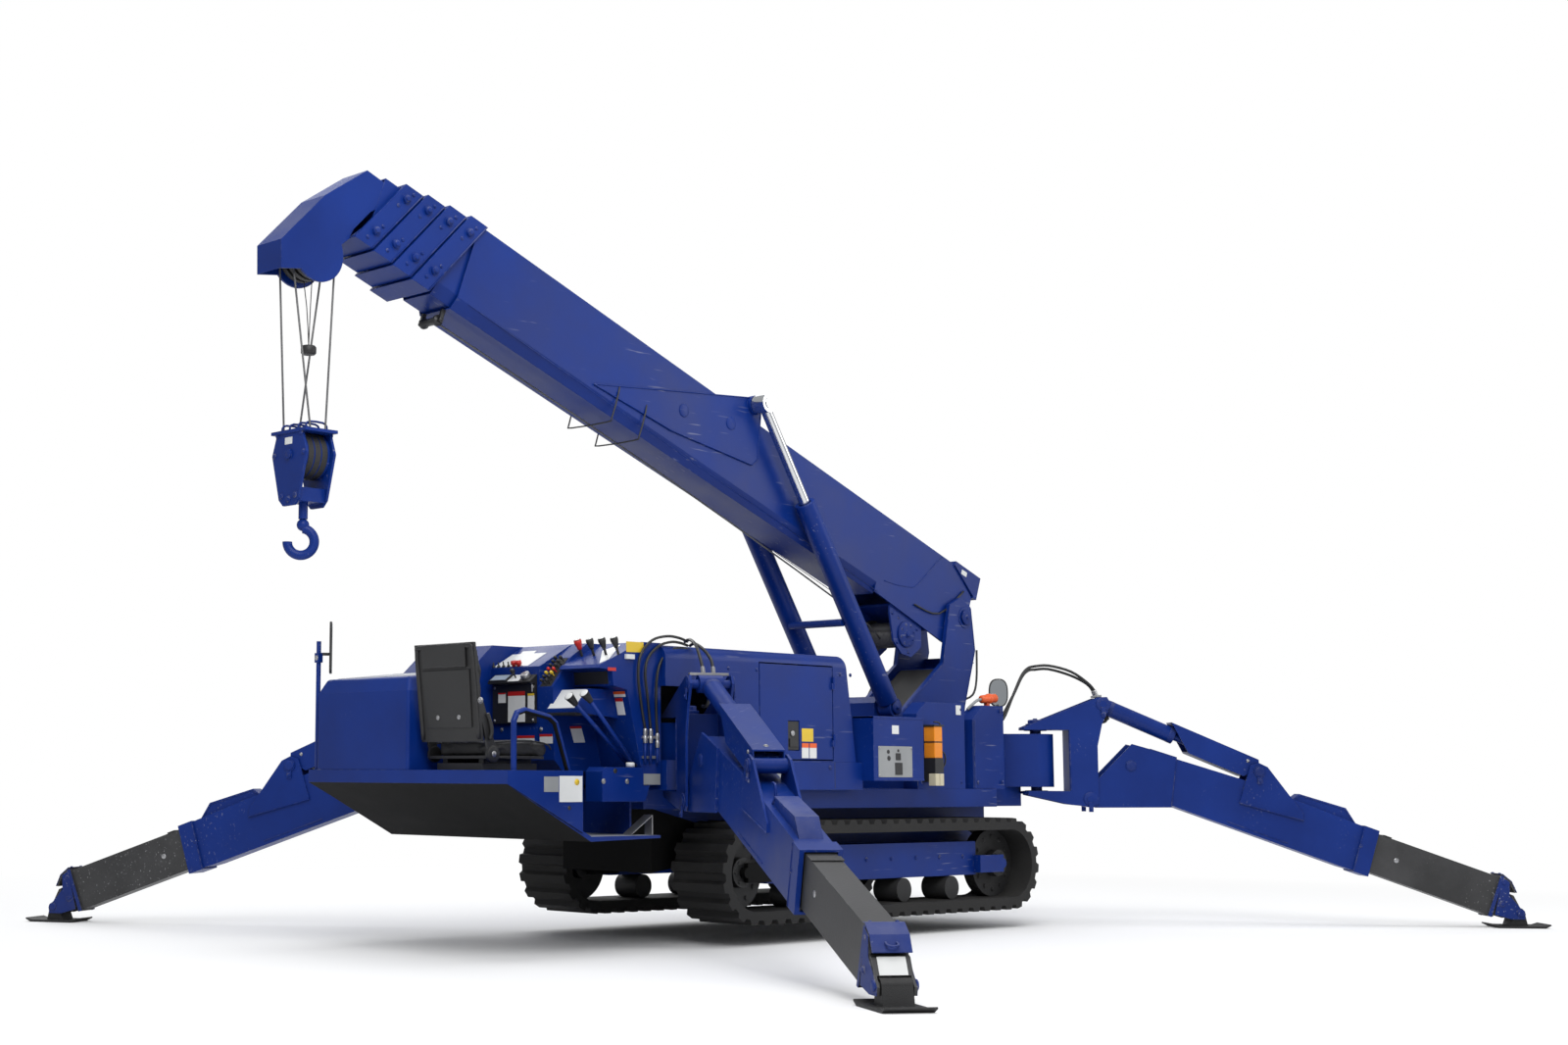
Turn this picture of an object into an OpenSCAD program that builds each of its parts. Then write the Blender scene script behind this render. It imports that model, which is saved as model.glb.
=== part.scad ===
// Tracked spider crane standing on its four outriggers, in millimetres.
// X runs toward the slewing column, Y to the machine's left, Z up from the ground under the pads.

/* [Tracks] */
// Width over both tracks
track_gauge_w = 1380; // [1300:10:1460]
// Width of one rubber track
track_w = 326; // [300:2:350]
// Length over one track
track_len = 2512; // [2300:10:2600]
// Height of one track from lug to lug
track_h = 478; // [460:2:500]
// Height of the lowest lug above the ground when the machine stands on its pads
track_lift = 96; // [60:2:130]
// Thickness of the rubber belt without its lugs
belt_t = 40; // [34:1:46]
// Height of a track lug
lug_h = 22; // [16:1:28]
// Number of lugs round one track
lug_n = 58; // [48:1:64]

/* [Chassis] */
// Width over the platform and its side panels
deck_w = 1380; // [1320:10:1440]
// Width of the operator's seat
seat_w = 370; // [340:5:400]
// Width of the engine cover
cover_w = 1240; // [1180:10:1280]
// Height of the engine cover's top above the ground
cover_top = 1378; // [1340:2:1400]
// Thickness of sheet covers
sheet_t = 8; // [5:1:12]

/* [Column and boom] */
// Diameter of the slewing ring
ring_d = 600; // [560:10:640]
// Height of the boom's foot pin above the ground
foot_z = 1680; // [1660:2:1700]
// Distance of the foot pin behind the slewing axis
foot_back = 439; // [420:1:450]
// Rise of the boom at rest, in degrees
boom_rest = 20.1; // [18:0.1:22]
// Width of the boom's base section
boom_w = 280; // [270:2:288]
// Depth of the boom's base section
boom_h = 433; // [420:1:440]
// Wall of every boom section
boom_wall = 7; // [5:0.5:8]
// Running gap between boom sections
boom_gap = 6; // [5.5:0.5:8]
// Diameter of a boom cylinder's barrel
barrel_d = 110; // [100:2:116]
// Diameter of a boom cylinder's rod
rod_d = 56; // [50:2:64]
// Diameter of the hoist rope
rope_d = 9; // [8:1:11]

/* [Outriggers] */
// Distance from a swing pivot to its pad's centre
leg_reach = 2520; // [2480:5:2560]
// Width of an outer leg
leg_w = 150; // [140:2:156]
// Depth of an outer leg
leg_d = 243; // [230:1:256]
// Length of a ground pad along its leg
pad_len = 295; // [260:5:330]
// Width of a ground pad
pad_w = 190; // [170:5:220]
// Thickness of a ground pad
pad_t = 12; // [10:1:16]

/* [Hidden] */
$fn = 48;
fit = 0.3;
pin_fit = 0.3;

// Tracks and chassis, worked out
track_x0 = -1277;
track_x1 = track_x0 + track_len;
track_y = track_gauge_w / 2 - track_w / 2;
track_top = track_lift + track_h;
belt_in = belt_t + lug_h;
wheel_r = track_h / 2 - belt_in - fit;
axle_z = track_lift + track_h / 2;
axle_x0 = track_x0 + track_h / 2;
axle_x1 = track_x1 - track_h / 2;
roller_r = 60;
beam_w = 600;
deck_z = 724;
deck_t = 94;
rail_h = 130;
skirt_z = deck_z + rail_h;
arm_z0 = 735;
arm_z1 = 1025;
rear_y = cover_w / 2 - 30;
skirt_y = cover_w / 2 - 60;
front_y = 560;
cover_x0 = -1577;
cover_x1 = -213;
cover_lean = 77;
cover_r = 60;
door_x0 = -929;
door_x1 = -392;
door_z0 = 866;
door_z1 = 1318;
door_gap = 6;
HINGES = [930, 1210];
sill_z0 = 745;
sill_z1 = 803;
platform_x0 = -2607;
platform_x1 = -2166;
floor_x1 = -1677;
floor_z = 520;
seat_y = 430 - deck_w / 2;
hood_y = seat_y + 231;
hood_out = deck_w / 2 - 70;
console_y = 100;
strip_y = -235;
strip_w = 100;
panel_x = -2000;

// Column and boom, worked out
slew_x = 900;
ring_z = 1000;
foot_x = slew_x + foot_back;
boom_mid = 48.5;
boom_top = boom_mid + boom_h / 2;
boom_low = boom_mid - boom_h / 2;
step = boom_wall + boom_gap;
pin_low = [594, 1154];
pin_top = [1989, 340];
cyl_y = 210;
eye_in = 164;
collar_s = 3930;
collar_w = 110;
collar_pitch = 121;
collar_slant = 24.5;
head_in = 4500.3;
head_s = 4703;
head_t = -286;
sheave_r = 112;
// Columns: section number, rear end along the boom
SECTIONS = [[2, 900], [3, 1080], [4, 1260], [5, 1440]];

// Outriggers: columns are pivot x, pivot y, direction of the leg in degrees, side (1 left, -1 right)
REAR_L = [-1397, rear_y, 121, 1];
REAR_R = [-1397, rear_y, 121, -1];
FRONT_L = [1513, 500, 47, 1];
FRONT_R = [1513, 500, 47, -1];
foot_u = 273;
foot_h = 671;
top_u = 353;
top_h = 1189;
eye_u = 1180;
eye_h = 826;
leg_drop = 19.85;
bracket_w = 206;
bracket_t = 12;
swing_r = 30;
leg_run = 1088.7;
collar_u = 712 + leg_run * cos(leg_drop);
collar_h = 649.7 - leg_run * sin(leg_drop);
bore_in = (753 - collar_u) / cos(leg_drop);
pad_u = leg_reach;
tube_end = (pad_u - 144.4 - collar_u) / cos(leg_drop);
pad_h = collar_h - tube_end * sin(leg_drop) + 30.9;
pad_pin = 12;
foot_half = 72;
foot_t = 10;

// Shared shapes

// The handrail's line: columns are x and height
RAIL = [[-2553, 795], [-2553, 1010], [-2535, 1044], [-2493, 1056], [-2350, 1030], [-2312, 1004], [-2233, 795]];
rail_r = 13;

// A profile in the x-z plane, extruded across y and centred on y = at
module plate_xz(points, w, at = 0) {
    translate([0, at, 0]) rotate([90, 0, 0]) linear_extrude(w, center = true) polygon(points);
}

// A box from its low and high corners
module span(low, high) {
    translate(low) cube([high[0] - low[0], high[1] - low[1], high[2] - low[2]]);
}

// A round bar along y, centred on y = at
module bar_y(x, z, r, w, at = 0) {
    translate([x, at, z]) rotate([90, 0, 0]) cylinder(r = r, h = w, center = true);
}

// The same child on both sides of the machine
module both_sides() {
    children();
    mirror([0, 1, 0]) children();
}

// The boom's own frame: x along the boom from its foot pin, z up from its axis
module on_boom() {
    translate([foot_x, 0, foot_z]) rotate([0, -boom_rest, 180]) children();
}

// An outrigger's own frame: x outward from its swing axis, y across, z from the ground
module at_leg(place) {
    translate([place[0], place[3] * place[1], 0]) rotate([0, 0, place[3] * place[2]]) children();
}

// Tracks

belt_run = axle_x1 - axle_x0;
belt_len = 2 * belt_run + PI * track_h;

// A point on the track's loop at a length s round it and a height off the axles' circle
function loop_point(s, off) =
    let (arc = PI * track_h / 2)
    s < belt_run ? [axle_x0 + s, axle_z + off]
    : s < belt_run + arc ? let (a = 90 - (s - belt_run) / arc * 180)
        [axle_x1 + off * cos(a), axle_z + off * sin(a)]
    : s < 2 * belt_run + arc ? [axle_x1 - (s - belt_run - arc), axle_z - off]
    : let (a = 270 - (s - 2 * belt_run - arc) / arc * 180)
        [axle_x0 + off * cos(a), axle_z + off * sin(a)];

// Outline with a lug on every pitch
function lug_line() =
    let (pitch = belt_len / lug_n, high = track_h / 2, low = track_h / 2 - lug_h)
    [for (i = [0 : lug_n - 1], p = [[0.08, low], [0.2, high], [0.62, high], [0.74, low]])
        loop_point((i + p[0]) * pitch, p[1])];

module track(side) {
    inner = track_h / 2 - belt_in;
    color([0.09, 0.09, 0.1])
    difference() {
        plate_xz(lug_line(), track_w, side * track_y);
        for (x = [axle_x0, axle_x1]) bar_y(x, axle_z, inner, track_w + 2, side * track_y);
        span([axle_x0, side * track_y - track_w / 2 - 1, axle_z - inner],
             [axle_x1, side * track_y + track_w / 2 + 1, axle_z + inner]);
    }
}

module track_left() track(1);
module track_right() track(-1);

module track_wheels() {
    color([0.13, 0.13, 0.14])
    both_sides() {
        for (x = [axle_x0, axle_x1]) difference() {
            union() {
                bar_y(x, axle_z, wheel_r, 60, track_y);
                bar_y(x, axle_z, 70, 150, track_y);
            }
            bar_y(x, axle_z, 25, 152, track_y);
        }
        for (i = [0 : 3]) bar_y(-620 + i * 400, track_lift + belt_in + roller_r + fit, roller_r, 150, track_y);
    }
}

// Chassis

module undercarriage() {
    frame_z0 = track_lift + belt_in + 2 * roller_r + 2 * fit;
    frame_z1 = track_top - belt_in - 60;
    color([0.03, 0.1, 0.42])
    difference() {
        union() {
            span([-1340, -beam_w / 2, 330], [1300, beam_w / 2, deck_z - deck_t]);
            span([-1260, -front_y, deck_z - deck_t], [1050, front_y, deck_z]);
            span([-1497, -400, deck_z - deck_t], [-1259, 400, arm_z0 + 1]);
            both_sides() {
                span([axle_x0 + wheel_r + 8, track_y - 60, frame_z0], [axle_x1 - wheel_r - 8, track_y + 60, frame_z1]);
                for (x = [-500, 620]) span([x, 0, frame_z0 + 30], [x + 120, track_y, frame_z1 - 10]);
                for (x = [axle_x0, axle_x1], y = [-1, 1]) {
                    span([x < 0 ? x : axle_x1 - wheel_r - 10, track_y + y * 95 - 12, axle_z - 45],
                         [x < 0 ? axle_x0 + wheel_r + 10 : x, track_y + y * 95 + 12, axle_z + 45]);
                }
                for (x = [axle_x0, axle_x1]) bar_y(x, axle_z, 24.7, 214, track_y);
                for (x = [axle_x0 + wheel_r + 8, axle_x1 - wheel_r - 30])
                    span([x, track_y - 107, axle_z - 45], [x + 22, track_y + 107, axle_z + 45]);
                span([-1570, skirt_y, deck_z - 4], [-163, cover_w / 2, skirt_z]);
            }
            span([-1570, -rear_y, deck_z - 4], [-1340, rear_y, deck_z + 11]);
            span([-1497, -rear_y, arm_z0], [-1297, rear_y, arm_z1]);
            span([1049, -420, deck_z - deck_t], [1256, 420, ring_z - 10]);
            span([1255, -420, deck_z - deck_t], [1480, 420, arm_z1]);
            cylinder_at(slew_x, ring_d / 2, deck_z - 1, ring_z);
            both_sides() {
                cylinder_at(REAR_L[0], 100, arm_z0, arm_z1, rear_y);
                hull() {
                    cylinder_at(1513, 95, arm_z0, arm_z1, 500);
                    cylinder_at(1380, 95, arm_z0, arm_z1, 320);
                }
            }
        }
        both_sides() {
            cylinder_at(REAR_L[0], swing_r + pin_fit, 0, 2000, rear_y);
            cylinder_at(1513, swing_r + pin_fit, 0, 2000, 500);
        }
    }
}

// A standing cylinder from one height to another
module cylinder_at(x, r, z0, z1, y = 0) {
    translate([x, y, z0]) cylinder(r = r, h = z1 - z0);
}

module platform() {
    color([0.03, 0.1, 0.42])
    union() {
        difference() {
            span([platform_x0, -deck_w / 2, sill_z0], [platform_x1, deck_w / 2, sill_z1]);
            span([platform_x0 + sheet_t, -deck_w / 2 + sheet_t, sill_z0 - 1],
                 [platform_x1 + 1, deck_w / 2 - sheet_t, sill_z1 - sheet_t]);
        }
        both_sides() plate_xz([[platform_x0, sill_z1], [platform_x0, sill_z0], [platform_x1, 536],
                               [platform_x1, sill_z1]], sheet_t, deck_w / 2 - sheet_t / 2);
        plate_xz([[platform_x0, sill_z0], [platform_x0 + sheet_t, sill_z0 + 8], [platform_x1 + 59, floor_z],
                  [floor_x1, floor_z], [floor_x1, floor_z - 12], [platform_x1 + 55, floor_z - 22]],
                 deck_w - 2 * sheet_t);
        span([floor_x1 - 12, -500, floor_z - 12], [floor_x1, 500, deck_z - 5]);
        span([-1690, -500, deck_z - 60], [-1572, 500, deck_z - 5]);
        plate_xz([[-1960, 668], [-1960, 800], [-1940, 820], [-1706, 820], [-1700 - fit, 799], [-1700 - fit, 739 - fit],
            [-1660, 739 - fit], [-1690, 668]], 106, -547);
        for (i = [0 : len(RAIL) - 2]) hull() for (p = [RAIL[i], RAIL[i + 1]])
            translate([p[0], -deck_w / 2 + 22, p[1]]) sphere(rail_r, $fn = 16);
    }
}

module tank_hood() {
    color([0.03, 0.12, 0.5])
    difference() {
        hull() {
            for (y = [hood_y + 14, hood_out], x = [-2590, -2180]) {
                translate([x, y, sill_z1 + fit]) cylinder(r = 14, h = 350, $fn = 24);
                translate([x + (x < -2400 ? 30 : 0), y + (y < 0 ? 30 : -30), 1195 + (x < -2400 ? 0 : 40)])
                    sphere(24, $fn = 24);
            }
        }
        span([-2590, hood_y + 14, sill_z1 - 1], [-2100, hood_out, 1150]);
        span([-2166, hood_y - 171, sill_z1 - 50], [-2000, hood_out + 80, 1400]);
    }
}

// Console: a body on the left, the panel before the seat, a lever strip and the lever bank on the right
module console() {
    back = cover_x0 - fit;
    right = 30 - cover_w / 2;
    color([0.03, 0.12, 0.5])
    union() {
        plate_xz([[-2165.7, sill_z1], [-2165.7, 1230], [-1990, 1385], [back, 1385], [back, 740], [-1700, 740],
            [-1700, sill_z1]], rear_y - console_y, (rear_y + console_y) / 2);
        plate_xz([[-1950, 800], [panel_x, 850], [panel_x, 1276], [-1820, 1373], [-1795, 1385], [back, 1385], [back, 740],
            [-1700, 740], [-1700, 800]], console_y - strip_y + 1, (console_y + strip_y + 1) / 2);
        plate_xz([[-1950, 800], [panel_x, 850], [-2012, 1165], [-2012, 1180], [-1902, 1316], [-1795, 1385], [back, 1385],
            [back, 740], [-1700, 740], [-1700, 800]], strip_w, strip_y - strip_w / 2);
        plate_xz([[-1700, 800], [-1795, 1165], [-1880, 1182], [-1890, 1250], [-1975, 1258], [-1960, 1275], [-1700, 1385],
            [back, 1385], [back, 740], [-1700, 740]], strip_y - right - strip_w + 1, (strip_y - strip_w + 1 + right) / 2);
        plate_xz([[-2030, 1062], [-2030, 1077], [-1950, 1169], [-1790, 1169], [-1760, 1040]], 190, strip_y - 170);
    }
}

// Switch box on the console's panel, with a sloping top
module control_box() {
    color([0.05, 0.05, 0.055])
    plate_xz([[panel_x - 14, 1018], [panel_x - 14, 1197], [panel_x - 45, 1201], [panel_x - 45, 1208],
        [panel_x - fit, 1240], [panel_x - fit, 1018]], 288, console_y - 174);
}

// Hand levers on the bank, and the two long travel levers beside the seat
module control_levers() {
    color([0.1, 0.1, 0.11]) {
        for (i = [0 : 3]) translate([-1850, -357 - 78 * i, 1321.6]) rotate([0, -22.9, 0]) translate([0, 0, fit]) {
            cylinder(r = 6, h = 60, $fn = 24);
            translate([0, 0, 34]) cylinder(r1 = 9, r2 = 17, h = 46, $fn = 24);
        }
        for (p = [[-2078, -530, 1113], [-2020, -566, 1127]]) {
            hull() {
                translate(p) sphere(9, $fn = 16);
                translate([-1722, p[1], 829 + fit]) sphere(9, $fn = 16);
            }
            translate(p) rotate([0, -50, 0]) cylinder(r1 = 13, r2 = 22, h = 55, center = true, $fn = 24);
        }
    }
}

module engine_cover() {
    color([0.03, 0.12, 0.5])
    difference() {
        cover_shape(0);
        cover_shape(sheet_t);
        span([-1560, -cover_w, 800], [-1250, cover_w, arm_z1 + 90]);
        both_sides() span([cover_x0 - 1, 430, 800], [-1290, cover_w, 1190]);
        span([door_x0 - door_gap, -cover_w, door_z0 - door_gap], [door_x1 + door_gap, -cover_w / 2 + 30, door_z1 + door_gap]);
    }
    for (z = HINGES) hinge_half(z, 1);
}

// The cover's outer form, or its inside when inset by the sheet
module cover_shape(inset) {
    x0 = cover_x0 + inset;
    x1 = cover_x1 - inset;
    z0 = skirt_z + (inset > 0 ? -1 : fit);
    z1 = cover_top - inset;
    r = cover_r - inset;
    half = cover_w / 2 - inset;
    intersection() {
        rotate([90, 0, 90]) translate([0, 0, x0]) linear_extrude(x1 - x0) {
            translate([-half, z0]) square([2 * half, z1 - r - z0]);
            translate([-half + r, z0]) square([2 * (half - r), z1 - z0]);
            for (y = [-1, 1]) translate([y * (half - r), z1 - r]) circle(r);
        }
        plate_xz([[x0 - 1, z0 - 1], [x1, z0 - 1], [x1 - cover_lean, z1 + 1], [x0 - 1, z1 + 1]], 3 * half);
    }
}

module engine_door() {
    color([0.03, 0.12, 0.5])
    difference() {
        span([door_x0, -cover_w / 2, door_z0], [door_x1, -cover_w / 2 + 20, door_z1]);
        span([-727, -cover_w / 2 - 1, 907], [-642, -cover_w / 2 + 12, 1051]);
        span([door_x0 + 15, -cover_w / 2 + sheet_t, door_z0 + 15], [-747, -cover_w / 2 + 21, door_z1 - 15]);
        span([-622, -cover_w / 2 + sheet_t, door_z0 + 15], [door_x1 - 15, -cover_w / 2 + 21, door_z1 - 15]);
    }
    for (z = HINGES) hinge_half(z, -1);
}

// Half a door hinge at a height: side -1 on the door, 1 on the cover above it
module hinge_half(z, side) {
    x = door_x1 + door_gap / 2;
    y = -cover_w / 2 - 7.5;
    color([0.03, 0.12, 0.5])
    translate([0, 0, side < 0 ? z : z + 30 + fit]) {
        cylinder_at(x, 7, 0, 30, y);
        span([side < 0 ? x - 14 : x, y - 3, 0], [side < 0 ? x : x + 16, y + 8, 30]);
    }
}

module engine_block() {
    color([0.2, 0.2, 0.2])
    span([-1150, -300, deck_z + fit], [-450, 300, 1250]);
}

module side_box() {
    color([0.03, 0.1, 0.42])
    difference() {
        span([-162.7, -cover_w / 2 - 70, 765], [243, -skirt_y - fit, 1083]);
        span([54, -cover_w / 2 - 71, 800], [147, -cover_w / 2 - 60, 930]);
    }
}

module front_covers() {
    color([0.03, 0.1, 0.42])
    both_sides() {
        plate_xz([[360, deck_z + fit], [360, 1110], [440, 1172], [774, 1172], [774, deck_z + fit]], 90, 45 - front_y);
        plate_xz([[857, deck_z + fit], [857, 1090], [957, 1168], [1140, 1168], [1140, deck_z + fit]], 90, 55 - front_y);
    }
}

module seat_frame() {
    low = sill_z1 + fit;
    color([0.08, 0.08, 0.09])
    union() {
        span([-2500, seat_y - 150, low], [-2180, seat_y + 150, low + 30]);
        for (y = [-1, 1]) span([-2480, seat_y + y * 120 - 15, low + 29], [-2200, seat_y + y * 120 + 15, low + 50]);
        span([-2512, seat_y - seat_w / 2, low + 49], [-2170, seat_y + seat_w / 2, low + 62]);
        for (y = [-1, 1]) translate([0, seat_y + y * (seat_w / 2 + 8), 0]) {
            bar_y(-2480, 872, 36, 14);
            hull() {
                bar_y(-2480, 872, 24, 12);
                bar_y(-2556, 1100, 14, 12);
            }
            plate_xz([[-2500, low + 50], [-2500, 860], [-2400, 860], [-2390, low + 50]], 15);
        }
        plate_xz([[-2548, 925], [-2536, 925], [-2586, 1350], [-2598, 1350]], seat_w + 28, seat_y);
    }
}

// The same child at y = middle, to both sides by an offset
module both_sides_of(middle, offset_y) {
    for (y = [-1, 1]) translate([0, middle + y * offset_y, 0]) children();
}

module seat_pads() {
    low = sill_z1 + 62 + 2 * fit;
    color([0.07, 0.07, 0.08])
    union() {
        plate_xz([[-2495, low], [-2120, low], [-2105, low + 25], [-2120, low + 55], [-2240, low + 72], [-2495, low + 60]],
            seat_w - 4, seat_y);
        plate_xz([[-2535.6, 926], [-2495, 945], [-2515, 1250], [-2550, 1350], [-2585.4, 1350]], seat_w - 4, seat_y);
    }
}

module view_mirror() {
    color([0.03, 0.1, 0.42])
    translate([-2585, hood_out + 35, 0]) {
        cylinder_at(0, 11, sill_z1 + fit, 1400);
        rotate([0, 0, 52]) {
            translate([0, -30, 1340]) cube([12, 44, 12], center = true);
            translate([0, -56, 1370]) rotate([90, 0, 0]) linear_extrude(12, center = true) hull()
                for (x = [-55, 55], z = [-95, 95]) translate([x, z]) circle(25, $fn = 24);
        }
    }
}

module beacon() {
    color([0.75, 0.3, 0.05])
    union() {
        cylinder_at(430, 38, 870, 1110, -front_y - 50);
        span([395, -front_y - 90, 740], [465, -front_y - 10, 870]);
        span([395, -front_y - 40, 760], [465, -front_y - fit, 800]);
    }
}

// Column and boom

module column() {
    base_z = ring_z + fit;
    color([0.03, 0.1, 0.42])
    difference() {
        union() {
            cylinder_at(slew_x, ring_d / 2 + 40, base_z, 1060);
            for (y = [-1, 1]) plate_xz([[710, 1059], [710, 1110], [1130, 1420], [1200, 1745], [1300, 1790],
                [1395, 1740], [1430, 1500], [1322, 1180], [1305, 1059]], 25, y * 158.5);
            plate_xz([[720, 1059], [760, 1110], [1160, 1390], [1180, 1370], [800, 1059]], 293);
            plate_xz([[1275, 1059], [1294, 1180], [1390, 1460], [1414, 1460], [1320, 1180], [1303, 1059]], 293);
            span([540, -148, 1059], [760, 148, 1110]);
            plate_xz([[540, 1059], [540, 1180], [590, 1215], [650, 1190], [720, 1059]], 296);
            bar_y(pin_low[0], pin_low[1], 28, 2 * cyl_y + 90);
            bar_y(foot_x, foot_z, 35, 2 * 171 + 20);
            for (y = [-1, 1]) bar_y(foot_x, foot_z, 60, 30, y * 160);
        }
        cylinder_at(slew_x, 60, base_z - 1, 1061);
    }
}

// Direction and length of the boom cylinders at rest
pin_top_x = foot_x - pin_top[0] * cos(boom_rest) + pin_top[1] * sin(boom_rest);
pin_top_z = foot_z + pin_top[0] * sin(boom_rest) + pin_top[1] * cos(boom_rest);
cyl_len = norm([pin_top_x - pin_low[0], pin_top_z - pin_low[1]]);
cyl_lean = atan2(pin_top_z - pin_low[1], pin_top_x - pin_low[0]);
barrel_len = 1250;
rod_in = 372;

// Along a boom cylinder from its lower pin
module on_cylinder(y) {
    translate([pin_low[0], y, pin_low[1]]) rotate([0, 90 - cyl_lean, 0]) children();
}

module boom_barrels() {
    color([0.03, 0.1, 0.42])
    union() {
        for (y = [-1, 1]) on_cylinder(y * cyl_y) difference() {
            union() {
                translate([0, 0, 40]) cylinder(r = barrel_d / 2, h = barrel_len - 40);
                rotate([90, 0, 0]) cylinder(r = 52, h = 80, center = true);
            }
            rotate([90, 0, 0]) cylinder(r = 28 + pin_fit, h = 120, center = true);
            translate([0, 0, 80]) cylinder(r = rod_d / 2 + 6, h = barrel_len);
        }
        on_cylinder(0) translate([-50, 0, 560]) rotate([90, 0, 0]) cylinder(r = 20, h = 2 * cyl_y - 60, center = true);
    }
}

module boom_rods() {
    color([0.6, 0.6, 0.62])
    for (y = [-1, 1]) on_cylinder(y * cyl_y) union() {
        translate([0, 0, rod_in]) cylinder(r = rod_d / 2, h = cyl_len - 30 - rod_in);
        translate([0, 0, cyl_len]) rotate([90, 0, 0]) cylinder(r = 48, h = 80, center = true);
        translate([0, 0, cyl_len]) rotate([90, 0, 0]) cylinder(r = 28, h = 2 * (cyl_y - eye_in - fit), center = true);
    }
}

// A boom section's outline across it: flat top and sides, chamfered lower corners
module section_face(n, inset) {
    half = boom_w / 2 - (n - 1) * step - inset;
    top = boom_top - (n - 1) * step - inset;
    low = boom_low + (n - 1) * step + inset;
    cut = 55 - inset / 2;
    polygon([[-half, top], [-half, low + cut], [-half + cut * 0.6, low], [half - cut * 0.6, low],
             [half, low + cut], [half, top]]);
}

// A boom section's tube from one place to another along the boom
module section_tube(n, s0, s1) {
    translate([s0, 0, 0]) rotate([90, 0, 90]) linear_extrude(s1 - s0) difference() {
        section_face(n, 0);
        section_face(n, boom_wall);
    }
}

// The collar at the front of a boom section, its edges slanted
module collar(n) {
    s0 = collar_s + (n - 1) * collar_pitch;
    half = boom_w / 2 - (n - 1) * step + 12;
    top = boom_top - (n - 1) * step + 10;
    low = boom_low + (n - 1) * step - 8;
    lean = (top - low) * tan(collar_slant);
    difference() {
        plate_xz([[s0, top], [s0 + lean, low], [s0 + lean + collar_w, low], [s0 + collar_w, top]], 2 * half);
        translate([s0 - 500, 0, 0]) rotate([90, 0, 90]) linear_extrude(1400) section_face(n, boom_wall);
    }
    for (y = [-1, 1], p = [0.18, 0.78])
        bar_y(s0 + collar_w / 2 + lean * p, top - (top - low) * p, 20, 12, y * (half + 6));
}

module section_part(n, s0) {
    s1 = collar_s + (n - 1) * collar_pitch;
    color([0.03, 0.12, 0.5])
    on_boom() union() {
        section_tube(n, s0, s1 + 40);
        collar(n);
        wear_pads(n, s0);
    }
}

// Pads at the rear end of a boom section that run in the section round it
module wear_pads(n, s0) {
    half = boom_w / 2 - (n - 1) * step;
    top = boom_top - (n - 1) * step;
    low = boom_low + (n - 1) * step;
    grow = boom_gap - fit;
    span([s0 + 5, -50, top - 1], [s0 + 65, 50, top + grow]);
    span([s0 + 5, -50, low - grow], [s0 + 65, 50, low + 1]);
    for (y = [-1, 1]) translate([0, y * (half + grow / 2 - 0.5), 0])
        span([s0 + 5, -grow / 2 - 0.5, 20], [s0 + 65, grow / 2 + 0.5, 100]);
}

module boom_base() {
    color([0.03, 0.12, 0.5])
    on_boom() difference() {
        union() {
            section_tube(1, 735, collar_s + 40);
            collar(1);
            for (y = [-1, 1]) plate_xz([[146, boom_top], [-60, 150], [-60, -60], [108, -195], [735, boom_low],
                [760, boom_low], [760, boom_top]], 10, y * (boom_w / 2 - 5));
            span([146, -boom_w / 2, boom_top - 8], [740, boom_w / 2, boom_top]);
            for (y = [-1, 1]) plate_xz([[3060, -90], [2033, 363], [1989, 395], [1940, 383], [1871, 87], [1900, 40], [2500, -60]],
                6, y * (boom_w / 2 + 2));
            bar_y(0, 0, 60, boom_w);
            for (y = [-1, 1]) bar_y(pin_top[0], pin_top[1], 50, eye_in - boom_w / 2 + 10, y * (eye_in + boom_w / 2 - 10) / 2);
            plate_xz([[-94, 284], [-94, 150], [-61, 150], [-61, 160], [150, 258], [150, 284]], boom_w + 20);
        }
        bar_y(0, 0, 35 + pin_fit, boom_w + 10);
    }
}

module boom_2() section_part(2, SECTIONS[0][1]);
module boom_3() section_part(3, SECTIONS[1][1]);
module boom_4() section_part(4, SECTIONS[2][1]);
module boom_5() {
    color([0.03, 0.12, 0.5])
    on_boom() union() {
        section_tube(5, SECTIONS[3][1], 4500);
        wear_pads(5, SECTIONS[3][1]);
    }
}

module boom_head() {
    half = 88;
    color([0.03, 0.12, 0.5])
    on_boom() union() {
            for (y = [-1, 1]) plate_xz([[head_in, 190], [4604, 192], [4767, -33], [4904, -334], [4858, -452], [4760, -400],
                [4625, -222], [4582, -150], [4577, -100], [4522, 22], [head_in, 50]], 12, y * (half - 6));
            plate_xz([[head_in, 190], [4604, 192], [4767, -33], [4904, -334], [4858, -452], [4848, -440], [4890, -334],
                [4755, -38], [4596, 180], [head_in, 180]], 2 * half);
            span([head_in, -half, 50], [4515, half, 185]);
            bar_y(head_s, head_t, 22, 2 * half);
            for (y = [-1, 1]) bar_y(head_s, head_t, 130, 12, y * (half - 6));
    }
}

module head_sheaves() {
    color([0.15, 0.15, 0.16])
    on_boom() for (y = [-45, 0, 45]) difference() {
        bar_y(head_s, head_t, sheave_r, 26, y);
        bar_y(head_s, head_t, 22 + pin_fit, 30, y);
    }
}

module winch_frame() {
    color([0.03, 0.12, 0.5])
    on_boom() union() {
        for (y = [-1, 1]) difference() {
            plate_xz([[300, -172], [262, -290], [327, -375], [413, -390], [500, -350], [580, -220], [600, -172]], 12, y * 118);
            bar_y(413, -275, 30, 14, y * 118);
        }
        span([300, -129.7, -180], [600, 129.7, -170]);
    }
}

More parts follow.
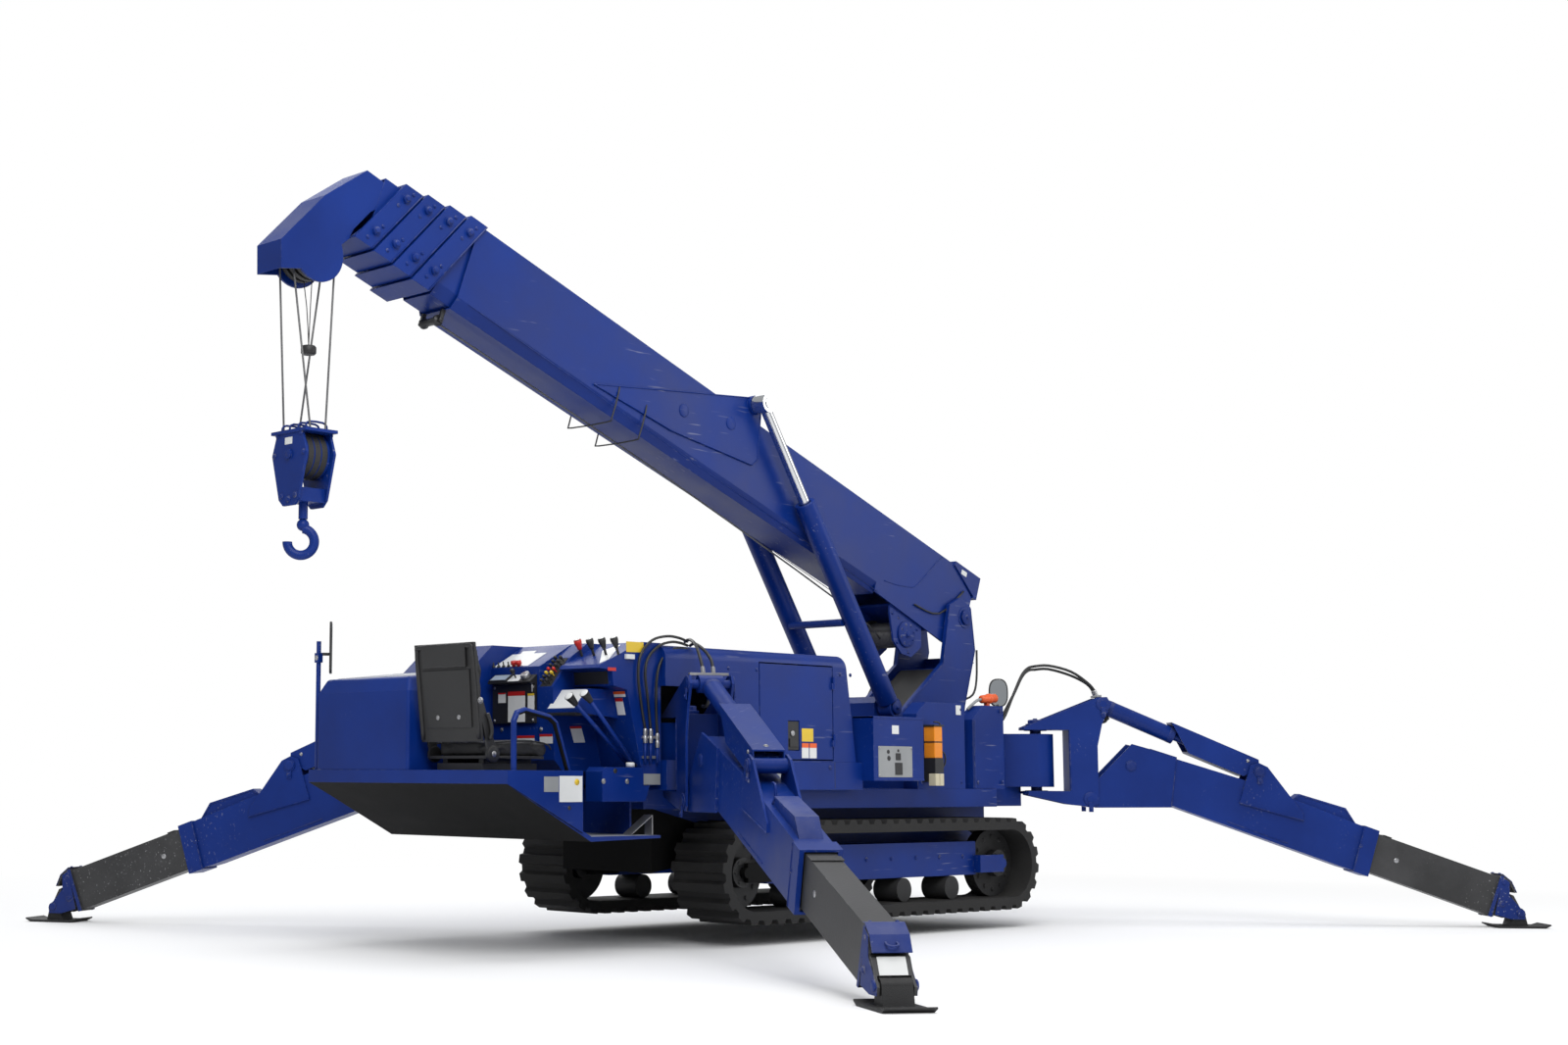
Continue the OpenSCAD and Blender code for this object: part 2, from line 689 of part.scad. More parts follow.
module winch_drum() {
    color([0.12, 0.12, 0.13])
    on_boom() union() {
        bar_y(413, -275, 62, 220);
        bar_y(413, -275, 29.7, 250);
        for (y = [-104, 104]) bar_y(413, -275, 88, 12, y);
    }
}

// Where the falls leave the head and where they enter the block, at rest
head_x = foot_x - head_s * cos(boom_rest) + head_t * sin(boom_rest);
head_z = foot_z + head_s * sin(boom_rest) + head_t * cos(boom_rest);
block_top = 2250;

module hoist_falls() {
    color([0.25, 0.25, 0.26])
    for (x = [-1, 1], y = [-1, 1]) hull() {
        translate([head_x + x * (sheave_r + rope_d / 2 - 0.3), y * 45, head_z - 13]) cylinder(r = rope_d / 2, h = 1, $fn = 16);
        translate([head_x + x * 40, y * 95, block_top + fit]) cylinder(r = rope_d / 2, h = 1, $fn = 16);
    }
}

module hook_block() {
    color([0.05, 0.12, 0.5])
    translate([head_x, 0, block_top]) {
        for (x = [-80, 68]) translate([x, 0, 0]) rotate([90, 0, 90]) linear_extrude(12)
            polygon([[-85, 0], [85, 0], [123, -105], [70, -300], [40, -328], [-40, -328], [-70, -300], [-123, -105]]);
        rotate([0, 90, 0]) translate([105, 0, 0]) cylinder(r = 22, h = 180, center = true);
        rotate([0, 90, 0]) translate([105, 0, 0]) cylinder(r = 100, h = 130, center = true);
        translate([-70, -60, -310]) cube([140, 120, 60]);
        translate([-87, -124, -14]) cube([174, 248, 14]);
    }
}

module hook() {
    ring = 58;
    thick = 21;
    color([0.05, 0.12, 0.5])
    translate([head_x, 0, block_top - 310 - fit]) rotate([0, 0, 138]) union() {
        cylinder_at(0, 20, -70, 0);
        translate([0, 0, -95]) sphere(27);
        translate([8, 0, -70 - ring - 40]) rotate([90, 0, 0])
            rotate([0, 0, 98]) rotate_extrude(angle = 262) translate([ring, 0]) circle(thick);
    }
}

// Outriggers

module bracket() {
    web_u = 165;
    color([0.03, 0.12, 0.5])
    union() {
        for (y = [-1, 1]) plate_xz([[-75, 1047], [-75, 1062], [325, 1226], [375, 1228], [395, 1190], [345, 1080],
            [318, 960], [318, 650], [290, 628], [165, 640], [-60, 690], [-60, 713], [web_u, 713], [web_u, 1047]],
            bracket_t, y * (bracket_w - bracket_t) / 2);
        for (z = [[697, 712], [1047, 1062]]) {
            cylinder_at(0, 85, z[0], z[1]);
            span([-30, -97, z[0]], [web_u, 97, z[1]]);
        }
        span([web_u - 1, -97, 697], [web_u + 12, 97, 1062]);
        cylinder_at(0, swing_r, 697, 1085);
        bar_y(top_u, top_h, 20, bracket_w + 16);
        bar_y(foot_u, foot_h, 20, bracket_w + 16);
    }
}

// The leg's sloping frame: x outward along the slope from the collar's lower edge, z square to it
module on_slope() {
    translate([collar_u, 0, collar_h]) rotate([0, leg_drop, 0]) children();
}

module leg() {
    root_w = bracket_w - 2 * bracket_t - 12;
    lap = 1;
    color([0.03, 0.12, 0.5])
    difference() {
        union() {
            for (y = [-1, 1]) plate_xz([[240, 700], [505, 972], [600, 945], [742, 900], [706, 628], [300, 624],
                [240, 650]], 10 + lap, y * (root_w / 2 - (10 + lap) / 2));
            difference() {
                plate_xz([[540, 955], [1089, 783], [collar_u + 44, collar_h + 231], [collar_u - 24, collar_h + 4],
                    [collar_u - 133, collar_h + 35], [712, 637], [540, 642]], leg_w);
                plate_xz([[400, 958], [600, 922], [800, 859], [812, 600], [715, 650], [400, 652]], leg_w - 20);
            }
            translate([collar_u, 0, collar_h]) plate_xz([[-11, 258], [65, 230], [-5, -14], [-81, 12]], leg_w + 24);
            for (y = [-1, 1]) plate_xz([[1069, 655], [1135, 860], [1180, 872], [1225, 850], [1405, 600],
                [1405, 562]], 10 + lap, y * (leg_w / 2 + (10 - lap) / 2));
            plate_xz([[1363, 667], [1400, 700], [1640, 625], [1686, 540]], 90);
            for (y = [-1, 1]) bar_y(eye_u, eye_h, 30, 12, y * (leg_w / 2 + 12));
            bar_y(foot_u, foot_h, 45, root_w + 2);
            for (y = [-1, 1]) bar_y(497, 852, 30, 10, y * (root_w / 2 - 2));
        }
        bar_y(foot_u, foot_h, 20 + pin_fit, root_w + 20);
        bar_y(497, 852, 14, root_w + 40);
        on_slope() span([bore_in, -leg_w / 2 + 8, -4], [200, leg_w / 2 - 8, 229]);
    }
}

// Inner leg: a square tube that runs in the outer leg, with the foot's side plates and its bent guard
module inner_leg() {
    half = leg_w / 2 - 14;
    color([0.3, 0.3, 0.31])
    difference() {
        union() {
            on_slope() span([-560, -half, 10], [tube_end, half, 223]);
            on_slope() span([-555, -half - 6 + fit, 40], [-505, half + 6 - fit, 190]);
            on_slope() span([-555, -40, -4 + fit], [-505, 40, 229 - fit]);
            on_slope() span([tube_end - 30, -foot_half, 6], [tube_end - 12, foot_half, 231]);
            on_foot() {
                for (y = [-1, 1]) plate_xz([[-135, -10], [-84, 188], [-50, 164], [-54, 92], [25, -4], [20, -34],
                    [-50, -34]], foot_t, y * (foot_half - foot_t / 2));
                plate_xz([[-96, 205], [-84, 204], [-40, 166], [-16, 108], [-26, 106], [-48, 156], [-90, 188]],
                    2 * foot_half - 4);
                plate_xz([[-50, 100], [-32, 92], [-4, 32], [-20, 28]], 2 * foot_half - 2);
                bar_y(0, 0, pad_pin, 2 * foot_half + 10);
            }
        }
        on_slope() span([-561, -half + 8, 18], [tube_end - 40, half - 8, 215]);
    }
}

// The foot's frame: its origin on the pad's pin
module on_foot() {
    translate([pad_u, 0, pad_h]) children();
}

// Ground pad: a flat plate with its ends turned up, and the stem that hangs on the foot's pin
module pad() {
    stem = foot_half - foot_t - 5;
    end = pad_len / 2;
    color([0.12, 0.12, 0.14])
    on_foot() difference() {
        union() {
            translate([0, 0, -80]) {
                plate_xz([[-end, 16], [3 - end, 22], [34 - end, pad_t], [end - 34, pad_t], [end - 3, 22], [end, 16],
                    [end - 32, 0], [32 - end, 0]], pad_w);
                plate_xz([[-52, pad_t - 1], [-26, 80], [26, 80], [40, pad_t - 1]], 2 * stem);
            }
            bar_y(0, 0, 26, 2 * stem);
        }
        bar_y(0, 0, pad_pin + pin_fit, 2 * stem + 10);
    }
}

cyl_u = eye_u - top_u;
cyl_h = eye_h - top_h;
leg_cyl = norm([cyl_u, cyl_h]);

// Along an outrigger cylinder from its top pin
module on_leg_cylinder() {
    translate([top_u, 0, top_h]) rotate([0, atan2(-cyl_h, cyl_u), 0]) children();
}

module leg_barrel() {
    color([0.03, 0.12, 0.5])
    on_leg_cylinder() difference() {
        union() {
            translate([38, 0, 0]) rotate([0, 90, 0]) cylinder(r = 44, h = 392);
            rotate([90, 0, 0]) cylinder(r = 40, h = 110, center = true);
        }
        rotate([90, 0, 0]) cylinder(r = 20 + pin_fit, h = 200, center = true);
        translate([66, 0, 0]) rotate([0, 90, 0]) cylinder(r = 27, h = 392);
    }
}

module leg_rod() {
    color([0.03, 0.12, 0.5])
    on_leg_cylinder() union() {
            translate([419, 0, 0]) rotate([0, 90, 0]) cylinder(r = 21, h = leg_cyl - 449);
            translate([leg_cyl, 0, 0]) rotate([90, 0, 0]) cylinder(r = 32, h = leg_w - 2 - 2 * fit, center = true);
            difference() {
                plate_xz([[380, 60], [880, 60], [900, 20], [840, -56], [526, -60]], leg_w - 12);
                plate_xz([[360, 54], [895, 54], [895, -49], [846, -50], [500, -54]], leg_w - 24);
            }
            span([820, -leg_w / 2 + 10, -20], [850, leg_w / 2 - 10, 20]);
    }
}

module bracket_rear_left() at_leg(REAR_L) bracket();
module leg_rear_left() at_leg(REAR_L) leg();
module inner_rear_left() at_leg(REAR_L) inner_leg();
module pad_rear_left() at_leg(REAR_L) pad();
module barrel_rear_left() at_leg(REAR_L) leg_barrel();
module rod_rear_left() at_leg(REAR_L) leg_rod();
module bracket_rear_right() at_leg(REAR_R) bracket();
module leg_rear_right() at_leg(REAR_R) leg();
module inner_rear_right() at_leg(REAR_R) inner_leg();
module pad_rear_right() at_leg(REAR_R) pad();
module barrel_rear_right() at_leg(REAR_R) leg_barrel();
module rod_rear_right() at_leg(REAR_R) leg_rod();
module bracket_front_left() at_leg(FRONT_L) bracket();
module leg_front_left() at_leg(FRONT_L) leg();
module inner_front_left() at_leg(FRONT_L) inner_leg();
module pad_front_left() at_leg(FRONT_L) pad();
module barrel_front_left() at_leg(FRONT_L) leg_barrel();
module rod_front_left() at_leg(FRONT_L) leg_rod();
module bracket_front_right() at_leg(FRONT_R) bracket();
module leg_front_right() at_leg(FRONT_R) leg();
module inner_front_right() at_leg(FRONT_R) inner_leg();
module pad_front_right() at_leg(FRONT_R) pad();
module barrel_front_right() at_leg(FRONT_R) leg_barrel();
module rod_front_right() at_leg(FRONT_R) leg_rod();

track_left();
track_right();
undercarriage();
track_wheels();
platform();
tank_hood();
console();
control_box();
control_levers();
engine_cover();
engine_door();
engine_block();
side_box();
front_covers();
seat_frame();
seat_pads();
view_mirror();
beacon();
column();
boom_barrels();
boom_rods();
boom_base();
boom_2();
boom_3();
boom_4();
boom_5();
boom_head();
winch_frame();
winch_drum();
head_sheaves();
hoist_falls();
hook_block();
hook();
bracket_rear_left();
leg_rear_left();
inner_rear_left();
pad_rear_left();
barrel_rear_left();
rod_rear_left();
bracket_rear_right();
leg_rear_right();
inner_rear_right();
pad_rear_right();
barrel_rear_right();
rod_rear_right();
bracket_front_left();
leg_front_left();
inner_front_left();
pad_front_left();
barrel_front_left();
rod_front_left();
bracket_front_right();
leg_front_right();
inner_front_right();
pad_front_right();
barrel_front_right();
rod_front_right();
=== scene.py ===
import math
import bpy
import bmesh
from mathutils import Matrix, Vector


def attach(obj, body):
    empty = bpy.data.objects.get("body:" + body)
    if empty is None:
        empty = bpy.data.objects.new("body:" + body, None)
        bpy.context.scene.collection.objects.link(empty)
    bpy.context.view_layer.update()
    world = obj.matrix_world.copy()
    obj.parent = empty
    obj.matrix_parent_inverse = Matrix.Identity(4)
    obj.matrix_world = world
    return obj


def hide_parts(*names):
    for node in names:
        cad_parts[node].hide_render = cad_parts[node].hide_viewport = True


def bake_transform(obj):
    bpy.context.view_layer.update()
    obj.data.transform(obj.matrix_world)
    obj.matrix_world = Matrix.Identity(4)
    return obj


# Dressed model of a compact tracked spider crane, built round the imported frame, in metres.

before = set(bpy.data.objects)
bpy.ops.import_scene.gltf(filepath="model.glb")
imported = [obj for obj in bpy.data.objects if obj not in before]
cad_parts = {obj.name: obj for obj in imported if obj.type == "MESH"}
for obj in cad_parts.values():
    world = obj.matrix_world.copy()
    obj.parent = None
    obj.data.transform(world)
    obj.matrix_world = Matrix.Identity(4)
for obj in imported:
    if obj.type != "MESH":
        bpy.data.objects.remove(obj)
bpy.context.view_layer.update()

# ---------------------------------------------------------------- shader groups


def socket(tree, name, kind, way, value=None):
    s = tree.interface.new_socket(name=name, in_out=way, socket_type=kind)
    if value is not None:
        s.default_value = value
    return s


def link(tree, a, b):
    tree.links.new(a, b)


def math_node(tree, op, a, b=None, clamp=False):
    n = tree.nodes.new("ShaderNodeMath")
    n.operation = op
    n.use_clamp = clamp
    for i, v in enumerate((a, b)):
        if v is None:
            continue
        if isinstance(v, (int, float)):
            n.inputs[i].default_value = v
        else:
            link(tree, v, n.inputs[i])
    return n.outputs[0]


def noise(tree, coord, scale, detail=3.0, rough=0.55):
    n = tree.nodes.new("ShaderNodeTexNoise")
    if isinstance(scale, (int, float)):
        n.inputs["Scale"].default_value = scale
    else:
        link(tree, scale, n.inputs["Scale"])
    n.inputs["Detail"].default_value = detail
    n.inputs["Roughness"].default_value = rough
    link(tree, coord, n.inputs["Vector"])
    return n.outputs["Fac"]


def ramp(tree, fac, low, high):
    n = tree.nodes.new("ShaderNodeMapRange")
    n.inputs["From Min"].default_value = low
    n.inputs["From Max"].default_value = high
    link(tree, fac, n.inputs["Value"])
    return n.outputs["Result"]


def edge_group():
    """Mask of worn edges and a rounded normal."""
    g = bpy.data.node_groups.new("EdgeWear", "ShaderNodeTree")
    socket(g, "Radius", "NodeSocketFloat", "INPUT", 0.003)
    socket(g, "Breakup", "NodeSocketFloat", "INPUT", 30.0)
    socket(g, "Mask", "NodeSocketFloat", "OUTPUT")
    socket(g, "Normal", "NodeSocketVector", "OUTPUT")
    i = g.nodes.new("NodeGroupInput")
    o = g.nodes.new("NodeGroupOutput")
    bev = g.nodes.new("ShaderNodeBevel")
    bev.samples = 4
    link(g, i.outputs["Radius"], bev.inputs["Radius"])
    geo = g.nodes.new("ShaderNodeNewGeometry")
    dot = g.nodes.new("ShaderNodeVectorMath")
    dot.operation = "DOT_PRODUCT"
    link(g, bev.outputs["Normal"], dot.inputs[0])
    link(g, geo.outputs["Normal"], dot.inputs[1])
    edge = ramp(g, dot.outputs["Value"], 0.995, 0.86)
    tc = g.nodes.new("ShaderNodeTexCoord")
    n = noise(g, tc.outputs["Object"], i.outputs["Breakup"], 4.0)
    broken = ramp(g, n, 0.5, 0.62)
    link(g, math_node(g, "MULTIPLY", edge, broken, True), o.inputs["Mask"])
    link(g, bev.outputs["Normal"], o.inputs["Normal"])
    return g


def dust_group():
    """Dust that lies on upward faces and in patches."""
    g = bpy.data.node_groups.new("Dust", "ShaderNodeTree")
    socket(g, "Scale", "NodeSocketFloat", "INPUT", 3.0)
    socket(g, "Mask", "NodeSocketFloat", "OUTPUT")
    i = g.nodes.new("NodeGroupInput")
    o = g.nodes.new("NodeGroupOutput")
    geo = g.nodes.new("ShaderNodeNewGeometry")
    sep = g.nodes.new("ShaderNodeSeparateXYZ")
    link(g, geo.outputs["Normal"], sep.inputs[0])
    up = ramp(g, sep.outputs["Z"], 0.2, 1.0)
    tc = g.nodes.new("ShaderNodeTexCoord")
    n = noise(g, tc.outputs["Object"], i.outputs["Scale"], 6.0, 0.65)
    patch = ramp(g, n, 0.4, 0.7)
    full = math_node(g, "MULTIPLY", up, 0.75)
    full = math_node(g, "ADD", full, 0.12)
    link(g, math_node(g, "MULTIPLY", full, patch, True), o.inputs["Mask"])
    return g


def grain_group():
    """Fine height and a tone that varies over the surface."""
    g = bpy.data.node_groups.new("Grain", "ShaderNodeTree")
    socket(g, "Scale", "NodeSocketFloat", "INPUT", 200.0)
    socket(g, "Height", "NodeSocketFloat", "OUTPUT")
    socket(g, "Tone", "NodeSocketFloat", "OUTPUT")
    i = g.nodes.new("NodeGroupInput")
    o = g.nodes.new("NodeGroupOutput")
    tc = g.nodes.new("ShaderNodeTexCoord")
    fine = noise(g, tc.outputs["Object"], i.outputs["Scale"], 2.0)
    broad = noise(g, tc.outputs["Object"], 2.3, 5.0)
    link(g, fine, o.inputs["Height"])
    link(g, broad, o.inputs["Tone"])
    return g


def scratch_group():
    """Long thin scratches and rubs."""
    g = bpy.data.node_groups.new("Scratches", "ShaderNodeTree")
    socket(g, "Scale", "NodeSocketFloat", "INPUT", 14.0)
    socket(g, "Mask", "NodeSocketFloat", "OUTPUT")
    i = g.nodes.new("NodeGroupInput")
    o = g.nodes.new("NodeGroupOutput")
    tc = g.nodes.new("ShaderNodeTexCoord")
    m = g.nodes.new("ShaderNodeMapping")
    m.inputs["Rotation"].default_value = (0.3, 0.2, 0.8)
    m.inputs["Scale"].default_value = (0.35, 9.0, 5.0)
    link(g, tc.outputs["Object"], m.inputs["Vector"])
    n = noise(g, m.outputs["Vector"], i.outputs["Scale"], 2.0, 0.4)
    line = ramp(g, n, 0.66, 0.72)
    where = ramp(g, noise(g, tc.outputs["Object"], 1.7, 3.0), 0.5, 0.62)
    link(g, math_node(g, "MULTIPLY", line, where, True), o.inputs["Mask"])
    return g


GROUPS = {"edge": edge_group(), "dust": dust_group(), "grain": grain_group(), "scratch": scratch_group()}


def use(tree, name, **values):
    n = tree.nodes.new("ShaderNodeGroup")
    n.node_tree = GROUPS[name]
    for k, v in values.items():
        n.inputs[k].default_value = v
    return n


def mix(tree, fac, a, b):
    n = tree.nodes.new("ShaderNodeMix")
    n.data_type = "RGBA"
    link(tree, fac, n.inputs[0])
    for i, v in ((6, a), (7, b)):
        if isinstance(v, tuple):
            n.inputs[i].default_value = (*v[:3], 1)
        else:
            link(tree, v, n.inputs[i])
    return n.outputs[2]


def material(name, color, tint, rough, rough_var=0.1, metal=0.0, coat=0.0, grain=200.0, bump=0.02,
        edge=None, edge_amount=0.0, dust=0.0, dust_color=(0.30, 0.29, 0.27), scratch=0.0,
        scratch_color=(0.35, 0.36, 0.4), radius=0.003, spec=0.5):
    """Principled material with tone, dust, worn edges, scratches and a fine bump."""
    m = bpy.data.materials.new(name)
    m.use_nodes = True
    t = m.node_tree
    b = t.nodes["Principled BSDF"]
    gr = use(t, "grain", Scale=grain)
    tone = ramp(t, gr.outputs["Tone"], 0.35, 0.68)
    c = mix(t, tone, color, tint)
    if scratch:
        s = use(t, "scratch")
        c = mix(t, math_node(t, "MULTIPLY", s.outputs["Mask"], scratch), c, scratch_color)
    if dust:
        d = use(t, "dust")
        dm = math_node(t, "MULTIPLY", d.outputs["Mask"], dust)
        c = mix(t, dm, c, dust_color)
    e = use(t, "edge", Radius=radius)
    if edge:
        em = math_node(t, "MULTIPLY", e.outputs["Mask"], edge_amount)
        c = mix(t, em, c, edge)
    link(t, c, b.inputs["Base Color"])
    r = math_node(t, "MULTIPLY", tone, rough_var)
    r = math_node(t, "ADD", r, rough)
    if dust:
        r = math_node(t, "ADD", r, math_node(t, "MULTIPLY", dm, 0.4), True)
    link(t, r, b.inputs["Roughness"])
    b.inputs["Metallic"].default_value = metal
    b.inputs["Coat Weight"].default_value = coat
    b.inputs["Coat Roughness"].default_value = 0.12
    b.inputs["Specular IOR Level"].default_value = spec
    bp = t.nodes.new("ShaderNodeBump")
    bp.inputs["Strength"].default_value = min(1.0, bump * 10)
    bp.inputs["Distance"].default_value = 0.002
    link(t, gr.outputs["Height"], bp.inputs["Height"])
    link(t, e.outputs["Normal"], bp.inputs["Normal"])
    link(t, bp.outputs["Normal"], b.inputs["Normal"])
    return m


BLUE = (0.0006, 0.017, 0.145)
BLUE2 = (0.0009, 0.024, 0.195)
M = {
    "blue": material("BluePaint", BLUE, BLUE2, 0.36, 0.14, coat=0.03, grain=60.0, bump=0.008,
        edge=(0.16, 0.19, 0.27),
                     edge_amount=0.45, dust=0.07, scratch=0.3, dust_color=(0.07, 0.10, 0.17), spec=0.22),
    "blue_worn": material("BluePaintWorn", (0.0006, 0.014, 0.12), BLUE2, 0.42, 0.2, spec=0.22, grain=60.0,
        bump=0.02,
                          edge=(0.28, 0.27, 0.26), edge_amount=0.8, dust=0.4, scratch=0.6),
    "rubber": material("TrackRubber", (0.009, 0.009, 0.0095), (0.02, 0.0195, 0.019), 0.62, 0.2, grain=320.0,
        bump=0.05,
                       edge=(0.07, 0.068, 0.064), edge_amount=0.5, dust=0.35,
                       dust_color=(0.09, 0.085, 0.078), spec=0.3),
    "iron": material("CastIron", (0.014, 0.014, 0.015), (0.03, 0.03, 0.031), 0.5, 0.2, metal=0.3, grain=260.0,
                     bump=0.05, edge=(0.2, 0.2, 0.2), edge_amount=0.5, dust=0.3,
                     dust_color=(0.1, 0.095, 0.09)),
    "steel": material("BareSteel", (0.045, 0.045, 0.046), (0.085, 0.085, 0.088), 0.42, 0.22, metal=0.65,
        grain=90.0,
                      bump=0.03, edge=(0.35, 0.35, 0.36), edge_amount=0.6, scratch=0.8,
                      scratch_color=(0.28, 0.28, 0.29)),
    "zinc": material("ZincSteel", (0.30, 0.30, 0.31), (0.45, 0.45, 0.46), 0.32, 0.15, metal=0.9, grain=160.0,
        bump=0.02,
                     radius=0.001),
    "chrome": material("ChromeRod", (0.55, 0.56, 0.58), (0.66, 0.67, 0.68), 0.12, 0.08, metal=1.0,
        grain=80.0, bump=0.003),
    "rope": material("WireRope", (0.10, 0.10, 0.105), (0.2, 0.2, 0.2), 0.45, 0.15, metal=0.8, grain=500.0,
        bump=0.08,
                     radius=0.001),
    "black": material("BlackPaint", (0.008, 0.008, 0.009), (0.015, 0.015, 0.016), 0.4, 0.15, grain=150.0,
        bump=0.01,
                      edge=(0.12, 0.12, 0.12), edge_amount=0.5, dust=0.2),
    "hose": material("HoseRubber", (0.007, 0.007, 0.0075), (0.014, 0.014, 0.014), 0.42, 0.12, grain=300.0,
        bump=0.02,
                     radius=0.001),
    "plastic": material("BlackPlastic", (0.010, 0.010, 0.011), (0.017, 0.017, 0.018), 0.45, 0.12, grain=420.0,
                        bump=0.03, radius=0.0015),
    "vinyl": material("BlackVinyl", (0.009, 0.009, 0.0095), (0.018, 0.018, 0.019), 0.36, 0.14, grain=420.0,
        bump=0.06,
                      radius=0.002, spec=0.5),
    "white": material("WhiteLabel", (0.62, 0.63, 0.62), (0.74, 0.75, 0.74), 0.4, 0.1, grain=90.0, bump=0.004,
                      scratch=0.5, scratch_color=(0.4, 0.41, 0.42), radius=0.0005),
    "grey": material("GreyPanel", (0.22, 0.23, 0.235), (0.30, 0.31, 0.315), 0.45, 0.1, grain=200.0, bump=0.01,
                     radius=0.001),
    "yellow": material("YellowLabel", (0.62, 0.42, 0.02), (0.72, 0.5, 0.03), 0.4, 0.1, grain=90.0, bump=0.004,
                       radius=0.0005),
    "orange": material("OrangePlastic", (0.68, 0.09, 0.012), (0.78, 0.13, 0.015), 0.38, 0.12, grain=200.0,
        bump=0.01,
                       radius=0.001),
    "red": material("RedPlastic", (0.42, 0.012, 0.01), (0.55, 0.02, 0.014), 0.34, 0.1, grain=200.0, bump=0.01,
                    radius=0.001),
    "amber": material("AmberLens", (0.75, 0.22, 0.01), (0.85, 0.30, 0.015), 0.14, 0.08, grain=120.0,
        bump=0.01,
                      coat=0.6, radius=0.0015),
    "cream": material("CreamPlastic", (0.52, 0.47, 0.33), (0.6, 0.55, 0.4), 0.45, 0.1, grain=180.0, bump=0.01,
                      radius=0.001),
    "glass": material("MirrorGlass", (0.5, 0.52, 0.54), (0.55, 0.57, 0.58), 0.04, 0.03, metal=1.0, grain=20.0,
                      bump=0.0005, radius=0.0005),
    # Near-black, barely shiny material: painted shade for downward and tucked-under faces
    "painted_shade": material("PaintedShadeUnderside", (0.0028, 0.0028, 0.003), (0.006, 0.006, 0.0062), 0.7, 0.1, grain=120.0,
        bump=0.02, spec=0.12),
    "screen": material("Screen", (0.30, 0.36, 0.42), (0.36, 0.42, 0.48), 0.12, 0.04, coat=0.4, grain=60.0,
        bump=0.001,
                       radius=0.0005),
    "pale": material("DustyPanel", (0.20, 0.22, 0.27), (0.34, 0.35, 0.38), 0.5, 0.15, grain=90.0, bump=0.02,
        dust=0.5,
                     dust_color=(0.4, 0.4, 0.4), scratch=0.5),
    "engine": material("EngineGrey", (0.05, 0.05, 0.052), (0.09, 0.09, 0.09), 0.55, 0.2, metal=0.3,
        grain=120.0,
                       bump=0.04, dust=0.3),
}

NODE_LOOK = {
    "track_left": "rubber", "track_right": "rubber", "track_wheels": "iron", "control_levers": "plastic",
    "engine_block": "engine", "seat_frame": "black", "control_box": "black", "seat_pads": "vinyl",
    "beacon": "amber",
    "boom_rods": "chrome", "head_sheaves": "iron", "hoist_falls": "rope", "winch_drum": "iron",
}
for name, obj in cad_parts.items():
    look = NODE_LOOK.get(name, "blue")
    if name.startswith("inner_"):
        look = "steel"
    if name.startswith("pad_"):
        look = "iron"
    obj.data.materials.clear()
    obj.data.materials.append(M[look])

# ---------------------------------------------------------------- mesh helpers


def add_object(name, mesh):
    o = bpy.data.objects.new(name, mesh)
    bpy.context.scene.collection.objects.link(o)
    return o


def applied(o):
    """Make the object's modifiers part of its mesh."""
    mesh = bpy.data.meshes.new_from_object(o.evaluated_get(bpy.context.evaluated_depsgraph_get()))
    o.modifiers.clear()
    o.data = mesh
    return mesh


